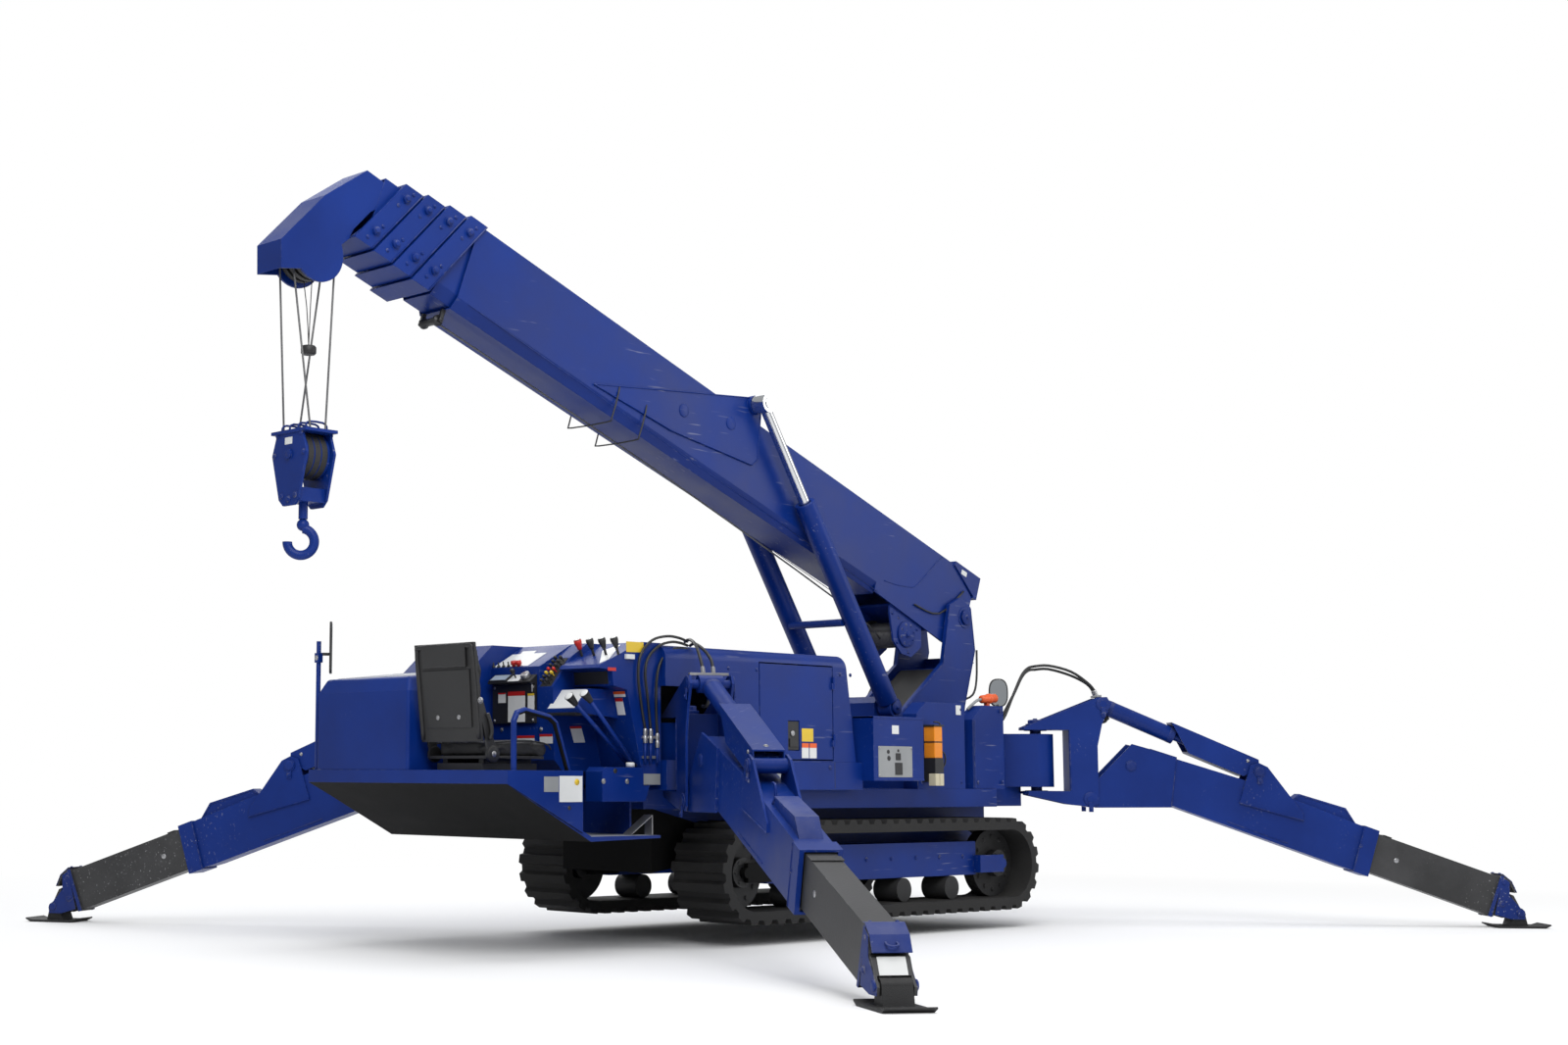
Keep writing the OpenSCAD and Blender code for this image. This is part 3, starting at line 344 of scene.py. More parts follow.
class Piece:
    """Gathers shapes of one body and one material into one mesh."""

    def __init__(self, name, look, body="chassis", slot="blue_paint", bevel=0.0, replaces=()):
        self.name, self.body, self.look, self.slot = name, body, look, slot
        self.bevel, self.replaced = bevel, replaces
        self.bm = bmesh.new()
        self.m = Matrix.Identity(4)

    def at(self, matrix):
        self.m = matrix
        return self

    def _put(self, points, faces, smooth=False):
        vs = [self.bm.verts.new(self.m @ Vector(p)) for p in points]
        for f in faces:
            try:
                face = self.bm.faces.new([vs[i] for i in f])
            except ValueError:
                continue
            face.smooth = smooth

    def box(self, lo, hi):
        (a, b, c), (d, e, f) = lo, hi
        pts = [(a, b, c), (d, b, c), (d, e, c), (a, e, c), (a, b, f), (d, b, f), (d, e, f), (a, e, f)]
        self._put(pts, [(0, 3, 2, 1), (4, 5, 6, 7), (0, 1, 5, 4), (1, 2, 6, 5), (2, 3, 7, 6), (3, 0, 4, 7)])

    def plate(self, outline, axis, lo, hi):
        """An outline of (p, q) points made thick along an axis; p and q are the other two axes in order."""
        order = {"x": (2, 0, 1), "y": (0, 2, 1), "z": (0, 1, 2)}[axis]
        n = len(outline)
        pts = []
        for w in (lo, hi):
            for p, q in outline:
                v = (p, q, w)
                pts.append(tuple(v[i] for i in order))
        side = [(i, (i + 1) % n, n + (i + 1) % n, n + i) for i in range(n)]
        self._put(pts, [tuple(range(n - 1, -1, -1)), tuple(range(n, 2 * n))] + side)

    def slab(self, points, toward, thick=0.0015, sink=0.0004):
        """A flat shape through points on a face, raised toward a direction."""
        d = Vector(toward).normalized()
        low = [Vector(p) - d * sink for p in points]
        top = [Vector(p) + d * thick for p in points]
        n = len(points)
        side = [(i, (i + 1) % n, n + (i + 1) % n, n + i) for i in range(n)]
        self._put(low + top, [tuple(range(n - 1, -1, -1)), tuple(range(n, 2 * n))] + side)

    def lathe(self, a, b, profile, n=20):
        """Turned form from a to b: profile of (share along, radius)."""
        a, b = Vector(a), Vector(b)
        d = (b - a).normalized()
        u = d.orthogonal().normalized()
        v = d.cross(u)
        pts, faces = [], []
        for s, r in profile:
            c = a + (b - a) * s
            for k in range(n):
                t = 2 * math.pi * k / n
                pts.append(c + (u * math.cos(t) + v * math.sin(t)) * r)
        rings = len(profile)
        for j in range(rings - 1):
            for k in range(n):
                k2 = (k + 1) % n
                faces.append((j * n + k, j * n + k2, (j + 1) * n + k2, (j + 1) * n + k))
        faces.append(tuple(range(n - 1, -1, -1)))
        faces.append(tuple(range((rings - 1) * n, rings * n)))
        self._put(pts, faces, True)

    def rod(self, a, b, r, n=16):
        self.lathe(a, b, [(0, r), (1, r)], n)

    def bolt(self, at, axis, r, h=None):
        """A hexagon head on a washer, standing on a face at a point."""
        h = h or r * 0.7
        a = Vector(at)
        d = Vector(axis).normalized()
        self.lathe(a - d * 0.001, a + d * h * 0.3, [(0, r * 1.35), (1, r * 1.35)], 16)
        self.lathe(a, a + d * h, [(0, r), (0.85, r), (1, r * 0.82)], 6)

    def tube(self, points, r, n=10, smooth=3):
        """A round tube along a smoothed line of points."""
        pts = curve_points([Vector(p) for p in points], smooth)
        rings, faces = [], []
        u = None
        for i, p in enumerate(pts):
            d = (pts[min(i + 1, len(pts) - 1)] - pts[max(i - 1, 0)]).normalized()
            u = d.orthogonal().normalized() if u is None else (u - d * u.dot(d)).normalized()
            v = d.cross(u)
            rings += [p + (u * math.cos(2 * math.pi * k / n)
                    + v * math.sin(2 * math.pi * k / n)) * r for k in range(n)]
        m = len(pts)
        for j in range(m - 1):
            for k in range(n):
                k2 = (k + 1) % n
                faces.append((j * n + k, j * n + k2, (j + 1) * n + k2, (j + 1) * n + k))
        faces.append(tuple(range(n - 1, -1, -1)))
        faces.append(tuple(range((m - 1) * n, m * n)))
        self._put(rings, faces, True)
        return pts

    def done(self):
        me = bpy.data.meshes.new(self.name)
        bmesh.ops.recalc_face_normals(self.bm, faces=self.bm.faces)
        self.bm.to_mesh(me)
        self.bm.free()
        me.materials.append(M[self.look])
        o = add_object(self.name, me)
        if self.bevel:
            md = o.modifiers.new("Edges", "BEVEL")
            md.width = self.bevel
            md.segments = 2
            md.limit_method = "ANGLE"
            md.angle_limit = math.radians(40)
        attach(o, self.body)
        if self.replaced:
            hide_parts(*self.replaced)
        return o


def curve_points(pts, steps):
    """Catmull-Rom line through the points."""
    if steps <= 1 or len(pts) < 3:
        return pts
    out = []
    for i in range(len(pts) - 1):
        p0, p1, p2, p3 = pts[max(i - 1, 0)], pts[i], pts[i + 1], pts[min(i + 2, len(pts) - 1)]
        for k in range(steps):
            t = k / steps
            out.append(0.5 * ((2 * p1) + (p2 - p0) * t + (2 * p0 - 5 * p1 + 4 * p2 - p3) * t * t
                    + (3 * p1 - p0 - 3 * p2 + p3) * t ** 3))
    out.append(pts[-1])
    return out


# ---------------------------------------------------------------- boom, winch, head

BOOM = Matrix.Translation((1.339, 0, 1.680)) @ Matrix.Rotation(math.pi, 4,
        "Z") @ Matrix.Rotation(math.radians(-20.1), 4, "Y")
STEP = 0.013
COLLAR_BODY = {1: "boom_base", 2: "boom_2", 3: "boom_3", 4: "boom_4"}


def boom_details():
    # Bolts on the collars: a large one on each boss and a small one beside it
    for n, body in COLLAR_BODY.items():
        s0 = 3.930 + (n - 1) * 0.121
        half = 0.140 - (n - 1) * STEP + 0.012
        top = 0.265 - (n - 1) * STEP + 0.010
        low = -0.168 + (n - 1) * STEP - 0.008
        lean = (top - low) * math.tan(math.radians(24.5))
        p = Piece(f"CollarBolts{n}", "blue_worn", body).at(BOOM)
        for y in (-1, 1):
            for share in (0.18, 0.78):
                s = s0 + 0.055 + lean * share
                t = top - (top - low) * share
                p.bolt((s, y * (half + 0.0118), t), (0, y, 0), 0.013)
                p.bolt((s + 0.03, y * half, t - 0.048), (0, y, 0), 0.007)
                p.bolt((s - 0.03, y * half, t + 0.04), (0, y, 0), 0.007)
            p.tube([(s0 + 0.006, y * (half + 0.001), top - 0.004),
                    (s0 + 0.006 + lean, y * (half + 0.001), low + 0.004)], 0.0032, 6, 1)
        for s in (0.03, 0.08):
            for y in (-0.06, 0.06):
                p.bolt((s0 + s, y, top), (0, 0, 1), 0.009)
        p.done()

    welds = Piece("BoomWelds", "blue", "boom_base").at(BOOM)
    for y in (-0.1455, 0.1455):
        welds.tube([(3.060, y, -0.090), (2.033, y, 0.363), (1.989, y, 0.395), (1.940, y, 0.383),
                (1.871, y, 0.087), (1.900, y, 0.040), (2.500, y, -0.060), (3.060, y, -0.090)], 0.0035, 6, 1)
        for s, t in ((2.453, 0.075), (2.117, 0.172)):
            welds.lathe((s, y * 0.985, t), (s, y * 1.02, t), [(0, 0.034), (0.8, 0.034), (1, 0.031)], 28)
        yy = 0.1405 if y > 0 else -0.1405
        welds.tube([(0.704, yy, -0.079), (0.60, yy, -0.058), (0.48, yy, -0.02), (0.443, yy, 0.0),
                (0.40, yy, 0.055), (0.30, yy, 0.215), (0.26, yy, 0.262)], 0.0028, 6, 3)
        welds.tube([(0.735, yy, -0.16), (3.90, yy, -0.115)], 0.002, 4, 1)
    welds.done()

    under = Piece("BoomUnderFittings", "black", "boom_base", "black_steel").at(BOOM)
    # Rope guide roller below the first collar and the two wire loops further back
    under.box((3.965, -0.075, -0.232), (3.985, -0.060, -0.170))
    under.box((3.965, 0.060, -0.232), (3.985, 0.075, -0.170))
    under.rod((3.975, -0.080, -0.222), (3.975, 0.080, -0.222), 0.009)
    under.lathe((3.975, -0.055, -0.222), (3.975, 0.055, -0.222), [(0, 0.026), (0.12, 0.026), (0.2, 0.018),
            (0.8, 0.018), (0.88, 0.026), (1, 0.026)], 20)
    for s in (2.70, 2.90):
        under.tube([(s, -0.143, -0.02), (s, -0.150, -0.06), (s, -0.150, -0.19), (s, -0.120, -0.212),
                (s, 0.120, -0.212), (s, 0.150, -0.19), (s, 0.150, -0.06), (s, 0.143, -0.02)], 0.0042, 6, 2)
    under.done()

    rope = Piece("HoistRopeBase", "rope", "boom_base", "wire_rope").at(BOOM)
    rope.tube([(0.470, 0.0, -0.318), (0.80, 0.0, -0.268), (2.4, 0.0, -0.215), (3.975, 0.0, -0.2085)],
            0.0045, 8, 3)
    rope.done()

    cap = Piece("RearCap", "white", "boom_base").at(BOOM)
    for y in (-0.1515, 0.1505):
        cap.box((0.035, y, 0.235), (0.085, y + 0.0012, 0.262))
    cap.done()

    # Winch: hub caps with their bolts, more bolts on its sides, and the rope coiled on the drum
    w = Piece("WinchHub", "blue_worn", "boom_base", bevel=0.0015).at(BOOM)
    for y in (-1, 1):
        w.lathe((0.413, y * 0.124, -0.275), (0.413, y * 0.137, -0.275),
                [(0, 0.072), (0.7, 0.072), (1, 0.064)], 32)
        for k in range(8):
            a = k * math.pi / 4 + 0.2
            w.bolt((0.413 + 0.055 * math.cos(a), y * 0.1365, -0.275 + 0.055 * math.sin(a)), (0, y, 0),
                    0.006)
        w.bolt((0.413, y * 0.1365, -0.275), (0, y, 0), 0.017)
        for s, t in ((0.33, -0.21), (0.50, -0.21), (0.56, -0.21), (0.36, -0.36), (0.47, -0.345)):
            w.bolt((s, y * 0.1238, t), (0, y, 0), 0.008)
    w.done()
    coil = Piece("WinchRope", "rope", "boom_base", "wire_rope").at(BOOM)
    for k in range(19):
        y = -0.086 + k * 0.0096
        coil.tube([(0.413 + 0.0665 * math.cos(a), y + 0.0048 * (a / math.pi - 0.5),
                -0.275 + 0.0665 * math.sin(a)) for a in [j * math.pi / 9 for j in range(19)]], 0.0046, 6, 1)
    coil.done()


boom_details()


# Hook block, hook and falls
# Hook line from the head, and the top of the block
HX, TOP = -3.17585, 2.250


def hook_details():
    p = Piece("HookBlockFittings", "blue_worn", "hook_block", bevel=0.001)
    for x in (-1, 1):
        for y, z, r in ((0, TOP - 0.105, 0.016), (0.085, TOP - 0.02, 0.009), (-0.085, TOP - 0.02, 0.009),
                (0.105, TOP - 0.105, 0.010), (-0.105, TOP - 0.105, 0.010), (0.05, TOP - 0.285, 0.011),
                (-0.05, TOP - 0.285, 0.011), (0, TOP - 0.30, 0.012)):
            p.bolt((HX + x * 0.0798, y, z), (x, 0, 0), r)
    for y in (-0.085, -0.03, 0.03, 0.085):
        p.tube([(HX - 0.055, y, TOP - 0.001), (HX - 0.055, y, TOP + 0.018), (HX - 0.035, y, TOP + 0.032),
                (HX + 0.035, y, TOP + 0.032), (HX + 0.055, y, TOP + 0.018), (HX + 0.055, y, TOP - 0.001)],
                0.005, 8, 2)
    p.done()
    s = Piece("HookBlockSticker", "white", "hook_block")
    s.box((HX - 0.0815, -0.022, TOP - 0.062), (HX - 0.0799, 0.03, TOP - 0.032))
    s.done()
    sh = Piece("HookBlockSheaves", "iron", "hook_block", "cast_black")
    for x in (-0.036, 0.0, 0.036):
        sh.lathe((HX + x - 0.014, 0, TOP - 0.105), (HX + x + 0.014, 0, TOP - 0.105),
                [(0, 0.1035), (0.12, 0.1035), (0.5, 0.1012), (0.88, 0.1035), (1, 0.1035)], 40)
    sh.done()
    weight = Piece("OverwindWeight", "black", "hoist_falls", "wire_rope", 0.002)
    weight.lathe((HX, -0.02, 2.585), (HX, -0.02, 2.625), [(0, 0.028), (0.2, 0.034), (0.8, 0.034), (1, 0.028)],
            24)
    weight.tube([(HX - 0.002, -0.045, 3.0), (HX - 0.001, -0.03, 2.8), (HX, -0.02, 2.62)], 0.0025, 6, 2)
    weight.tube([(HX + 0.002, 0.045, 3.0), (HX + 0.001, 0.0, 2.8), (HX, -0.02, 2.62)], 0.0025, 6, 2)
    weight.done()


hook_details()


def rope_falls():
    """The falls as one piece, copied from the CAD node with its transform baked in; the node is hidden."""
    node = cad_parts["hoist_falls"]
    me = node.data.copy()
    me.transform(node.matrix_world)
    o = add_object("RopeFalls", me)
    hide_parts("hoist_falls")
    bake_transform(o)


rope_falls()

# ---------------------------------------------------------------- outriggers

LEGS = {"rear_left": (-1.397, 0.590, 121, 1), "rear_right": (-1.397, 0.590, 121, -1),
        "front_left": (1.513, 0.500, 47, 1), "front_right": (1.513, 0.500, 47, -1)}
SLOPE = math.radians(19.85)


def leg_matrix(place):
    x, y, a, side = place
    return Matrix.Translation((x, side * y, 0)) @ Matrix.Rotation(math.radians(side * a), 4, "Z")


def leg_details(name, place):
    m = leg_matrix(place)
    slope = m @ Matrix.Translation((1.736, 0, 0.280)) @ Matrix.Rotation(SLOPE, 4, "Y")

    # Bracket: pin heads with keeper plates, the swing pin's cap, weld lines and two blank labels
    p = Piece(f"BracketFittings_{name}", "blue_worn", f"bracket_{name}", bevel=0.001).at(m)
    for u, z in ((0.353, 1.189), (0.273, 0.671)):
        for y in (-1, 1):
            p.lathe((u, y * 0.103, z), (u, y * 0.1085, z), [(0, 0.038), (0.7, 0.038), (1, 0.035)], 28)
            p.box((u - 0.012, y * 0.1115 - 0.003, z - 0.07), (u + 0.012, y * 0.1115 + 0.003, z - 0.018))
            p.bolt((u, y * 0.1140, z - 0.055), (0, y, 0), 0.008)
    p.lathe((0, 0, 1.062), (0, 0, 1.104), [(0, 0.052), (0.45, 0.052), (0.5, 0.040), (0.9, 0.040),
            (1, 0.034)], 28)
    p.bolt((0, 0, 1.103), (0, 0, 1), 0.012)
    for z0 in (0.697, 1.047):
        p.lathe((0, 0, z0 - 0.004), (0, 0, z0 + 0.019), [(0, 0.062), (1, 0.062)], 28)
    for y in (-1, 1):
        p.tube([(0.17, y * 0.1035, 0.72), (0.17, y * 0.1035, 1.04)], 0.003, 6, 1)
    p.done()
    lab = Piece(f"BracketLabels_{name}", "white", f"bracket_{name}").at(m)
    heads = Piece(f"BracketLabelHeads_{name}", "red", f"bracket_{name}").at(m)
    for z0, z1 in ((1.060, 1.120), (0.93, 1.03)):
        lab.box((0.205, 0.1026, z0), (0.285, 0.1038, z1))
        heads.box((0.205, 0.1030, z1 - 0.016), (0.285, 0.1041, z1 - 0.0005))
    lab.done()
    heads.done()

    # Outer leg: weld ridges, pin bosses, a lifting lug and the edge plate of the hump
    g = Piece(f"LegFittings_{name}", "blue_worn", f"leg_{name}", bevel=0.001).at(m)
    for y in (-1, 1):
        g.lathe((1.180, y * 0.0925, 0.826), (1.180, y * 0.0985, 0.826),
                [(0, 0.024), (0.7, 0.024), (1, 0.021)], 24)
        g.box((1.168, y * 0.0895 - 0.0035, 0.758), (1.192, y * 0.0895 + 0.0035, 0.80))
        g.bolt((1.180, y * 0.093, 0.775), (0, y, 0), 0.008)
        g.lathe((0.497, y * 0.0875, 0.852), (0.497, y * 0.0925, 0.852),
                [(0, 0.026), (0.6, 0.026), (1, 0.0165)], 24)
        g.tube([(0.600, y * 0.0838, 0.945), (0.742, y * 0.0838, 0.900), (0.706, y * 0.0838, 0.628)], 0.0030,
                6, 1)
        g.tube([(1.0, y * 0.0755, 0.555), (1.32, y * 0.0755, 0.440)], 0.0035, 6, 1)
        g.tube([(1.069, y * 0.0855, 0.655), (1.405, y * 0.0855, 0.562)], 0.003, 6, 1)
        g.tube([(1.655, y * 0.0875, 0.294), (1.725, y * 0.0875, 0.535)], 0.003, 6, 1)
        g.bolt((1.70, y * 0.0868, 0.43), (0, y, 0), 0.007)
    g.plate([(1.352, 0.672), (1.396, 0.706), (1.640, 0.631), (1.690, 0.546), (1.684, 0.540), (1.634, 0.622),
            (1.400, 0.696), (1.360, 0.666)], "y", -0.049, 0.049)
    g.tube([(1.300, -0.012, 0.668), (1.300, -0.012, 0.735), (1.290, -0.012, 0.752), (1.268, -0.012, 0.757)],
            0.0065, 8, 3)
    g.done()
    liner = Piece(f"LegWearPads_{name}", "plastic", f"leg_{name}").at(slope)
    for lo, hi in (((0.02, -0.0655, 0.224), (0.061, 0.0655, 0.2285)),
            ((-0.055, -0.0655, -0.0035), (-0.015, 0.0655, 0.0085))):
        liner.box(lo, hi)
    liner.done()

    # Inner leg: the foot's cheeks, bolts and blank sticker, and a plugged hole each side
    h = Piece(f"InnerFittings_{name}", "blue_worn", f"inner_{name}", "bare_steel", 0.001).at(m)
    foot = [(2.385, 0.070), (2.436, 0.268), (2.470, 0.244), (2.466, 0.172), (2.545, 0.076), (2.540, 0.046),
            (2.470, 0.046)]
    for y in (-1, 1):
        a, b = sorted((y * 0.0721, y * 0.0742))
        h.plate(foot, "y", a, b)
        h.lathe((2.520, y * 0.074, 0.080), (2.520, y * 0.0815, 0.080),
                [(0, 0.021), (0.7, 0.021), (1, 0.018)], 20)
        h.bolt((2.425, y * 0.0742, 0.125), (0, y, 0), 0.012)
        h.bolt((2.440, y * 0.0742, 0.235), (0, y, 0), 0.007)
    h.plate([(2.420, 0.287), (2.437, 0.2865), (2.4815, 0.248), (2.5055, 0.189), (2.503, 0.1865),
            (2.479, 0.245), (2.435, 0.2835), (2.423, 0.2845)], "y", -0.0735, 0.0735)
    h.tube([(2.492, -0.02, 0.222), (2.510, -0.02, 0.214), (2.516, 0.0, 0.209), (2.510, 0.02, 0.214),
            (2.492, 0.02, 0.222)], 0.0045, 8, 3)
    for y in (-0.05, 0.05):
        h.bolt((2.428, y, 0.2865), (0.1, 0, 1), 0.007)
    h.done()
    cap = Piece(f"InnerEndCap_{name}", "blue_worn", f"inner_{name}", "bare_steel", 0.001).at(slope)
    cap.box((0.6495, -0.0735, 0.0045), (0.6695, -0.0721, 0.2325))
    cap.box((0.6495, 0.0721, 0.0045), (0.6695, 0.0735, 0.2325))
    cap.box((0.6495, -0.0735, 0.2312), (0.6695, 0.0735, 0.2325))
    cap.done()
    st = Piece(f"FootSticker_{name}", "white", f"inner_{name}", "bare_steel").at(m)
    st.plate([(2.4885, 0.1735), (2.4895, 0.1738), (2.5172, 0.1135), (2.5162, 0.1132)], "y", -0.052, 0.052)
    st.done()
    marks = Piece(f"InnerMarks_{name}", "zinc", f"inner_{name}", "bare_steel").at(slope)
    for y in (-1, 1):
        marks.lathe((0.12, y * 0.0605, 0.12), (0.12, y * 0.0622, 0.12), [(0, 0.014), (1, 0.012)], 16)
    marks.done()

    # Cylinder: barrel rings, hose stubs and the cover's bolts
    along = m @ Matrix.Translation((0.353, 0, 1.189)) @ Matrix.Rotation(math.atan2(0.4019, 0.9157), 4, "Y")
    c = Piece(f"BarrelFittings_{name}", "blue_worn", f"barrel_{name}", bevel=0.001).at(along)
    c.lathe((0.398, 0, 0), (0.430, 0, 0), [(0, 0.0445), (0.1, 0.0449), (0.9, 0.0449), (1, 0.0445)], 32)
    c.lathe((0.052, 0, 0), (0.072, 0, 0), [(0, 0.0445), (0.2, 0.0449), (0.8, 0.0449), (1, 0.0445)], 32)
    c.done()
    hs = Piece(f"BarrelHoses_{name}", "hose", f"barrel_{name}").at(along)
    hs.tube([(0.058, 0.012, -0.046), (0.056, 0.014, -0.060), (0.068, 0.016, -0.064),
            (0.078, 0.012, -0.046)], 0.005, 8, 4)
    hs.tube([(0.062, -0.012, -0.046), (0.060, -0.02, -0.075), (0.03, -0.022, -0.095),
            (-0.01, -0.018, -0.11)], 0.0075, 8, 4)
    hs.done()
    r = Piece(f"RodCoverBolts_{name}", "zinc", f"rod_{name}").at(along)
    r.bolt((0.84, 0.0, 0.0598), (0, 0, 1), 0.008)
    for y in (-1, 1):
        r.bolt((0.83, y * 0.0688, 0.03), (0, y, 0), 0.007)
    r.done()


for leg_name, leg_place in LEGS.items():
    leg_details(leg_name, leg_place)


# ---------------------------------------------------------------- console

SIDE = (0, -1, 0)
REAR = (-1, 0, 0)


def on_side(y, x0, x1, z0, z1):
    """Corners of an upright rectangle on a side face, from the upper left."""
    return [(x0, y, z1), (x1, y, z1), (x1, y, z0), (x0, y, z0)]


def on_rear(x, y0, y1, z0, z1):
    """Corners of an upright rectangle on a rear face, from the upper left."""
    return [(x, y0, z1), (x, y1, z1), (x, y1, z0), (x, y0, z0)]


def label(name, points, toward, head=None, body="chassis", look="white", share=0.14, slot="blue_paint"):
    """A blank label on a face, with a plain coloured band along its upper edge.

    The points go from the top left by the top right and low right to the low left."""
    p = Piece(name, look, body, slot)
    p.slab(points, toward)
    p.done()
    if head:
        a, b, c, d = [Vector(q) for q in points]
        h = Piece(name + "Band", head, body, slot)
        h.slab([a, b, b.lerp(c, share), a.lerp(d, share)], toward, 0.0022, 0.0)
        h.done()


def console_details():
    lid = Vector((-0.47, 0, 0.88))
    label("LidPlacardA", [(-1.872, 0.088, 1.3450), (-1.872, -0.145, 1.3450), (-1.992, -0.145, 1.2803),
            (-1.992, 0.088, 1.2803)], lid)
    label("LidPlacardB", [(-1.846, 0.046, 1.3590), (-1.846, -0.050, 1.3590), (-1.886, -0.060, 1.3374),
            (-1.886, 0.030, 1.3374)], lid)
    label("BoxLabelA", on_rear(-2.014, 0.029, -0.021, 1.1134, 1.1595), REAR, "red", slot="black_steel")
    label("BoxLabelB", on_rear(-2.014, -0.038, -0.153, 1.0240, 1.1640), REAR, "red", slot="black_steel")
    label("BoxLabelC", on_rear(-2.014, -0.172, -0.215, 1.0780, 1.1530), REAR, "yellow", slot="black_steel")
    label("PanelLabelA", on_rear(-2.000, -0.086, -0.202, 0.9237, 0.9620), REAR, "red", share=0.3)
    label("PanelLabelB", [(-2.0045, -0.242, 0.9670), (-2.0045, -0.326, 0.9670), (-2.0028, -0.326, 0.9250),
            (-2.0028, -0.242, 0.9250)], REAR, "red", share=0.25)
    knee = Vector((-0.97, 0, -0.25))
    label("KneeLabelA", [(-1.7937, -0.502, 1.160), (-1.7937, -0.574, 1.160), (-1.7872, -0.574, 1.135),
            (-1.7872, -0.502, 1.135)], knee, "orange", share=0.5)
    label("KneeLabelB", [(-1.7859, -0.505, 1.130), (-1.7859, -0.552, 1.130), (-1.7664, -0.552, 1.055),
            (-1.7664, -0.505, 1.055)], knee, "red", share=0.2)
    label("StripLabel", [(-1.907, -0.335, 1.003), (-1.836, -0.335, 1.006), (-1.809, -0.335, 0.932),
            (-1.880, -0.335, 0.930)], SIDE, "red")
    label("BankPlacard", [(-1.792, -0.430, 1.3461), (-1.722, -0.478, 1.3757), (-1.905, -0.585, 1.2983),
            (-1.950, -0.572, 1.2792)], (-0.39, 0, 0.92))
    label("BankPlate", [(-1.800, -0.590, 1.383), (-1.690, -0.590, 1.383), (-1.690, -0.590, 1.337),
            (-1.800, -0.590, 1.335)], SIDE, look="yellow")
    label("BankTag", on_side(-0.590, -1.917, -1.866, 1.247, 1.262), SIDE, look="red")
    label("DeskPlacard", [(-1.954, -0.318, 1.1650), (-1.954, -0.490, 1.1650), (-2.027, -0.490, 1.0805),
            (-2.027, -0.318, 1.0805)], (-0.75, 0, 0.66))
    label("StepPlate", on_side(-0.590, -1.697, -1.583, 0.743, 0.792), SIDE, look="grey")
    label("SillPlateA", on_side(-0.690, -2.398, -2.313, 0.712, 0.777), SIDE, look="grey")
    label("SillPlateB", on_side(-0.690, -2.308, -2.172, 0.669, 0.780), SIDE)
    dot = Piece("SillMark", "yellow")
    dot.lathe((-2.205, -0.691, 0.754), (-2.205, -0.6925, 0.754), [(0, 0.014), (1, 0.014)], 24)
    dot.done()

    dark = Piece("ConsoleOpenings", "plastic")
    dark.slab([(-1.904, -0.248, 1.313), (-1.904, -0.322, 1.313), (-2.010, -0.322, 1.182),
            (-2.010, -0.248, 1.182)], (-0.78, 0, 0.63), 0.0015)
    dark.slab([(-1.8905, -0.345, 1.246), (-1.8905, -0.560, 1.246), (-1.8812, -0.560, 1.190),
            (-1.8812, -0.345, 1.190)], REAR, 0.0015)
    dark.box((-2.0305, -0.4985, 1.050), (-1.800, -0.3115, 1.0615))
    dark.lathe((-1.881, -0.6, 0.8034), (-1.881, -0.6016, 0.8034), [(0, 0.011), (1, 0.011)], 20)
    dark.lathe((-2.249, -0.69, 0.644), (-2.249, -0.6912, 0.644), [(0, 0.009), (1, 0.009)], 20)
    dark.done()

    # Small levers in the strip: black ones with a red and a yellow one among them
    looks = ["plastic", "plastic", "yellow", "red", "plastic", "plastic", "plastic"]
    made = {k: Piece("StripLevers_" + k, k) for k in ("plastic", "yellow", "red")}
    n = Vector((-0.78, 0, 0.63))
    for i, k in enumerate(looks):
        s = (i + 0.7) / 7.4
        for y in (-0.268, -0.302):
            a = Vector((-2.010 + 0.106 * s, y, 1.182 + 0.131 * s))
            made[k].rod(a, a + n * 0.018, 0.003, 8)
            made[k].lathe(a + n * 0.014, a + n * 0.034, [(0, 0.004), (0.3, 0.0075), (0.8, 0.0075),
                    (1, 0.004)], 12)
    for p in made.values():
        p.done()

    box = Piece("SwitchBoxParts", "plastic", "chassis", "black_steel", 0.001)
    tilt = Vector((-0.58, 0, 0.81))
    a, b = Vector((-2.0440, 0, 1.2092)), Vector((-2.0010, 0, 1.2398))
    box.slab([b + Vector((0, 0.066, 0)), b + Vector((0, -0.058, 0)), a + Vector((0, -0.058, 0)),
            a + Vector((0, 0.066, 0))], tilt, 0.006)
    for i in range(4):
        x, y = -1.992, 0.086 - 0.034 * i
        z = 1.276 + (x + 2.0) * 0.5389
        box.lathe((x, y, z - 0.001), (x - 0.004, y, z + 0.024), [(0, 0.009), (0.35, 0.007), (0.4, 0.0035),
                (1, 0.0035)], 10)
    c = a.lerp(b, 0.5) + Vector((0, -0.100, 0))
    box.rod(c, c + tilt * 0.03, 0.004, 8)
    box.lathe(c + tilt * 0.024, c + tilt * 0.05, [(0, 0.006), (0.5, 0.012), (0.9, 0.010), (1, 0.005)], 14)
    box.done()
    screen = Piece("SwitchBoxScreen", "screen", "chassis", "black_steel")
    a2, b2 = a.lerp(b, 0.12) + tilt * 0.0061, a.lerp(b, 0.88) + tilt * 0.0061
    screen.slab([b2 + Vector((0, 0.056, 0)), b2 + Vector((0, -0.048, 0)), a2 + Vector((0, -0.048, 0)),
            a2 + Vector((0, 0.056, 0))], tilt, 0.0008)
    screen.done()
    white = Piece("SwitchBoxPlate", "white", "chassis", "black_steel")
    white.slab([b + Vector((0, -0.064, 0)), b + Vector((0, -0.138, 0)), a + Vector((0, -0.138, 0)),
            a + Vector((0, -0.064, 0))], tilt, 0.0015)
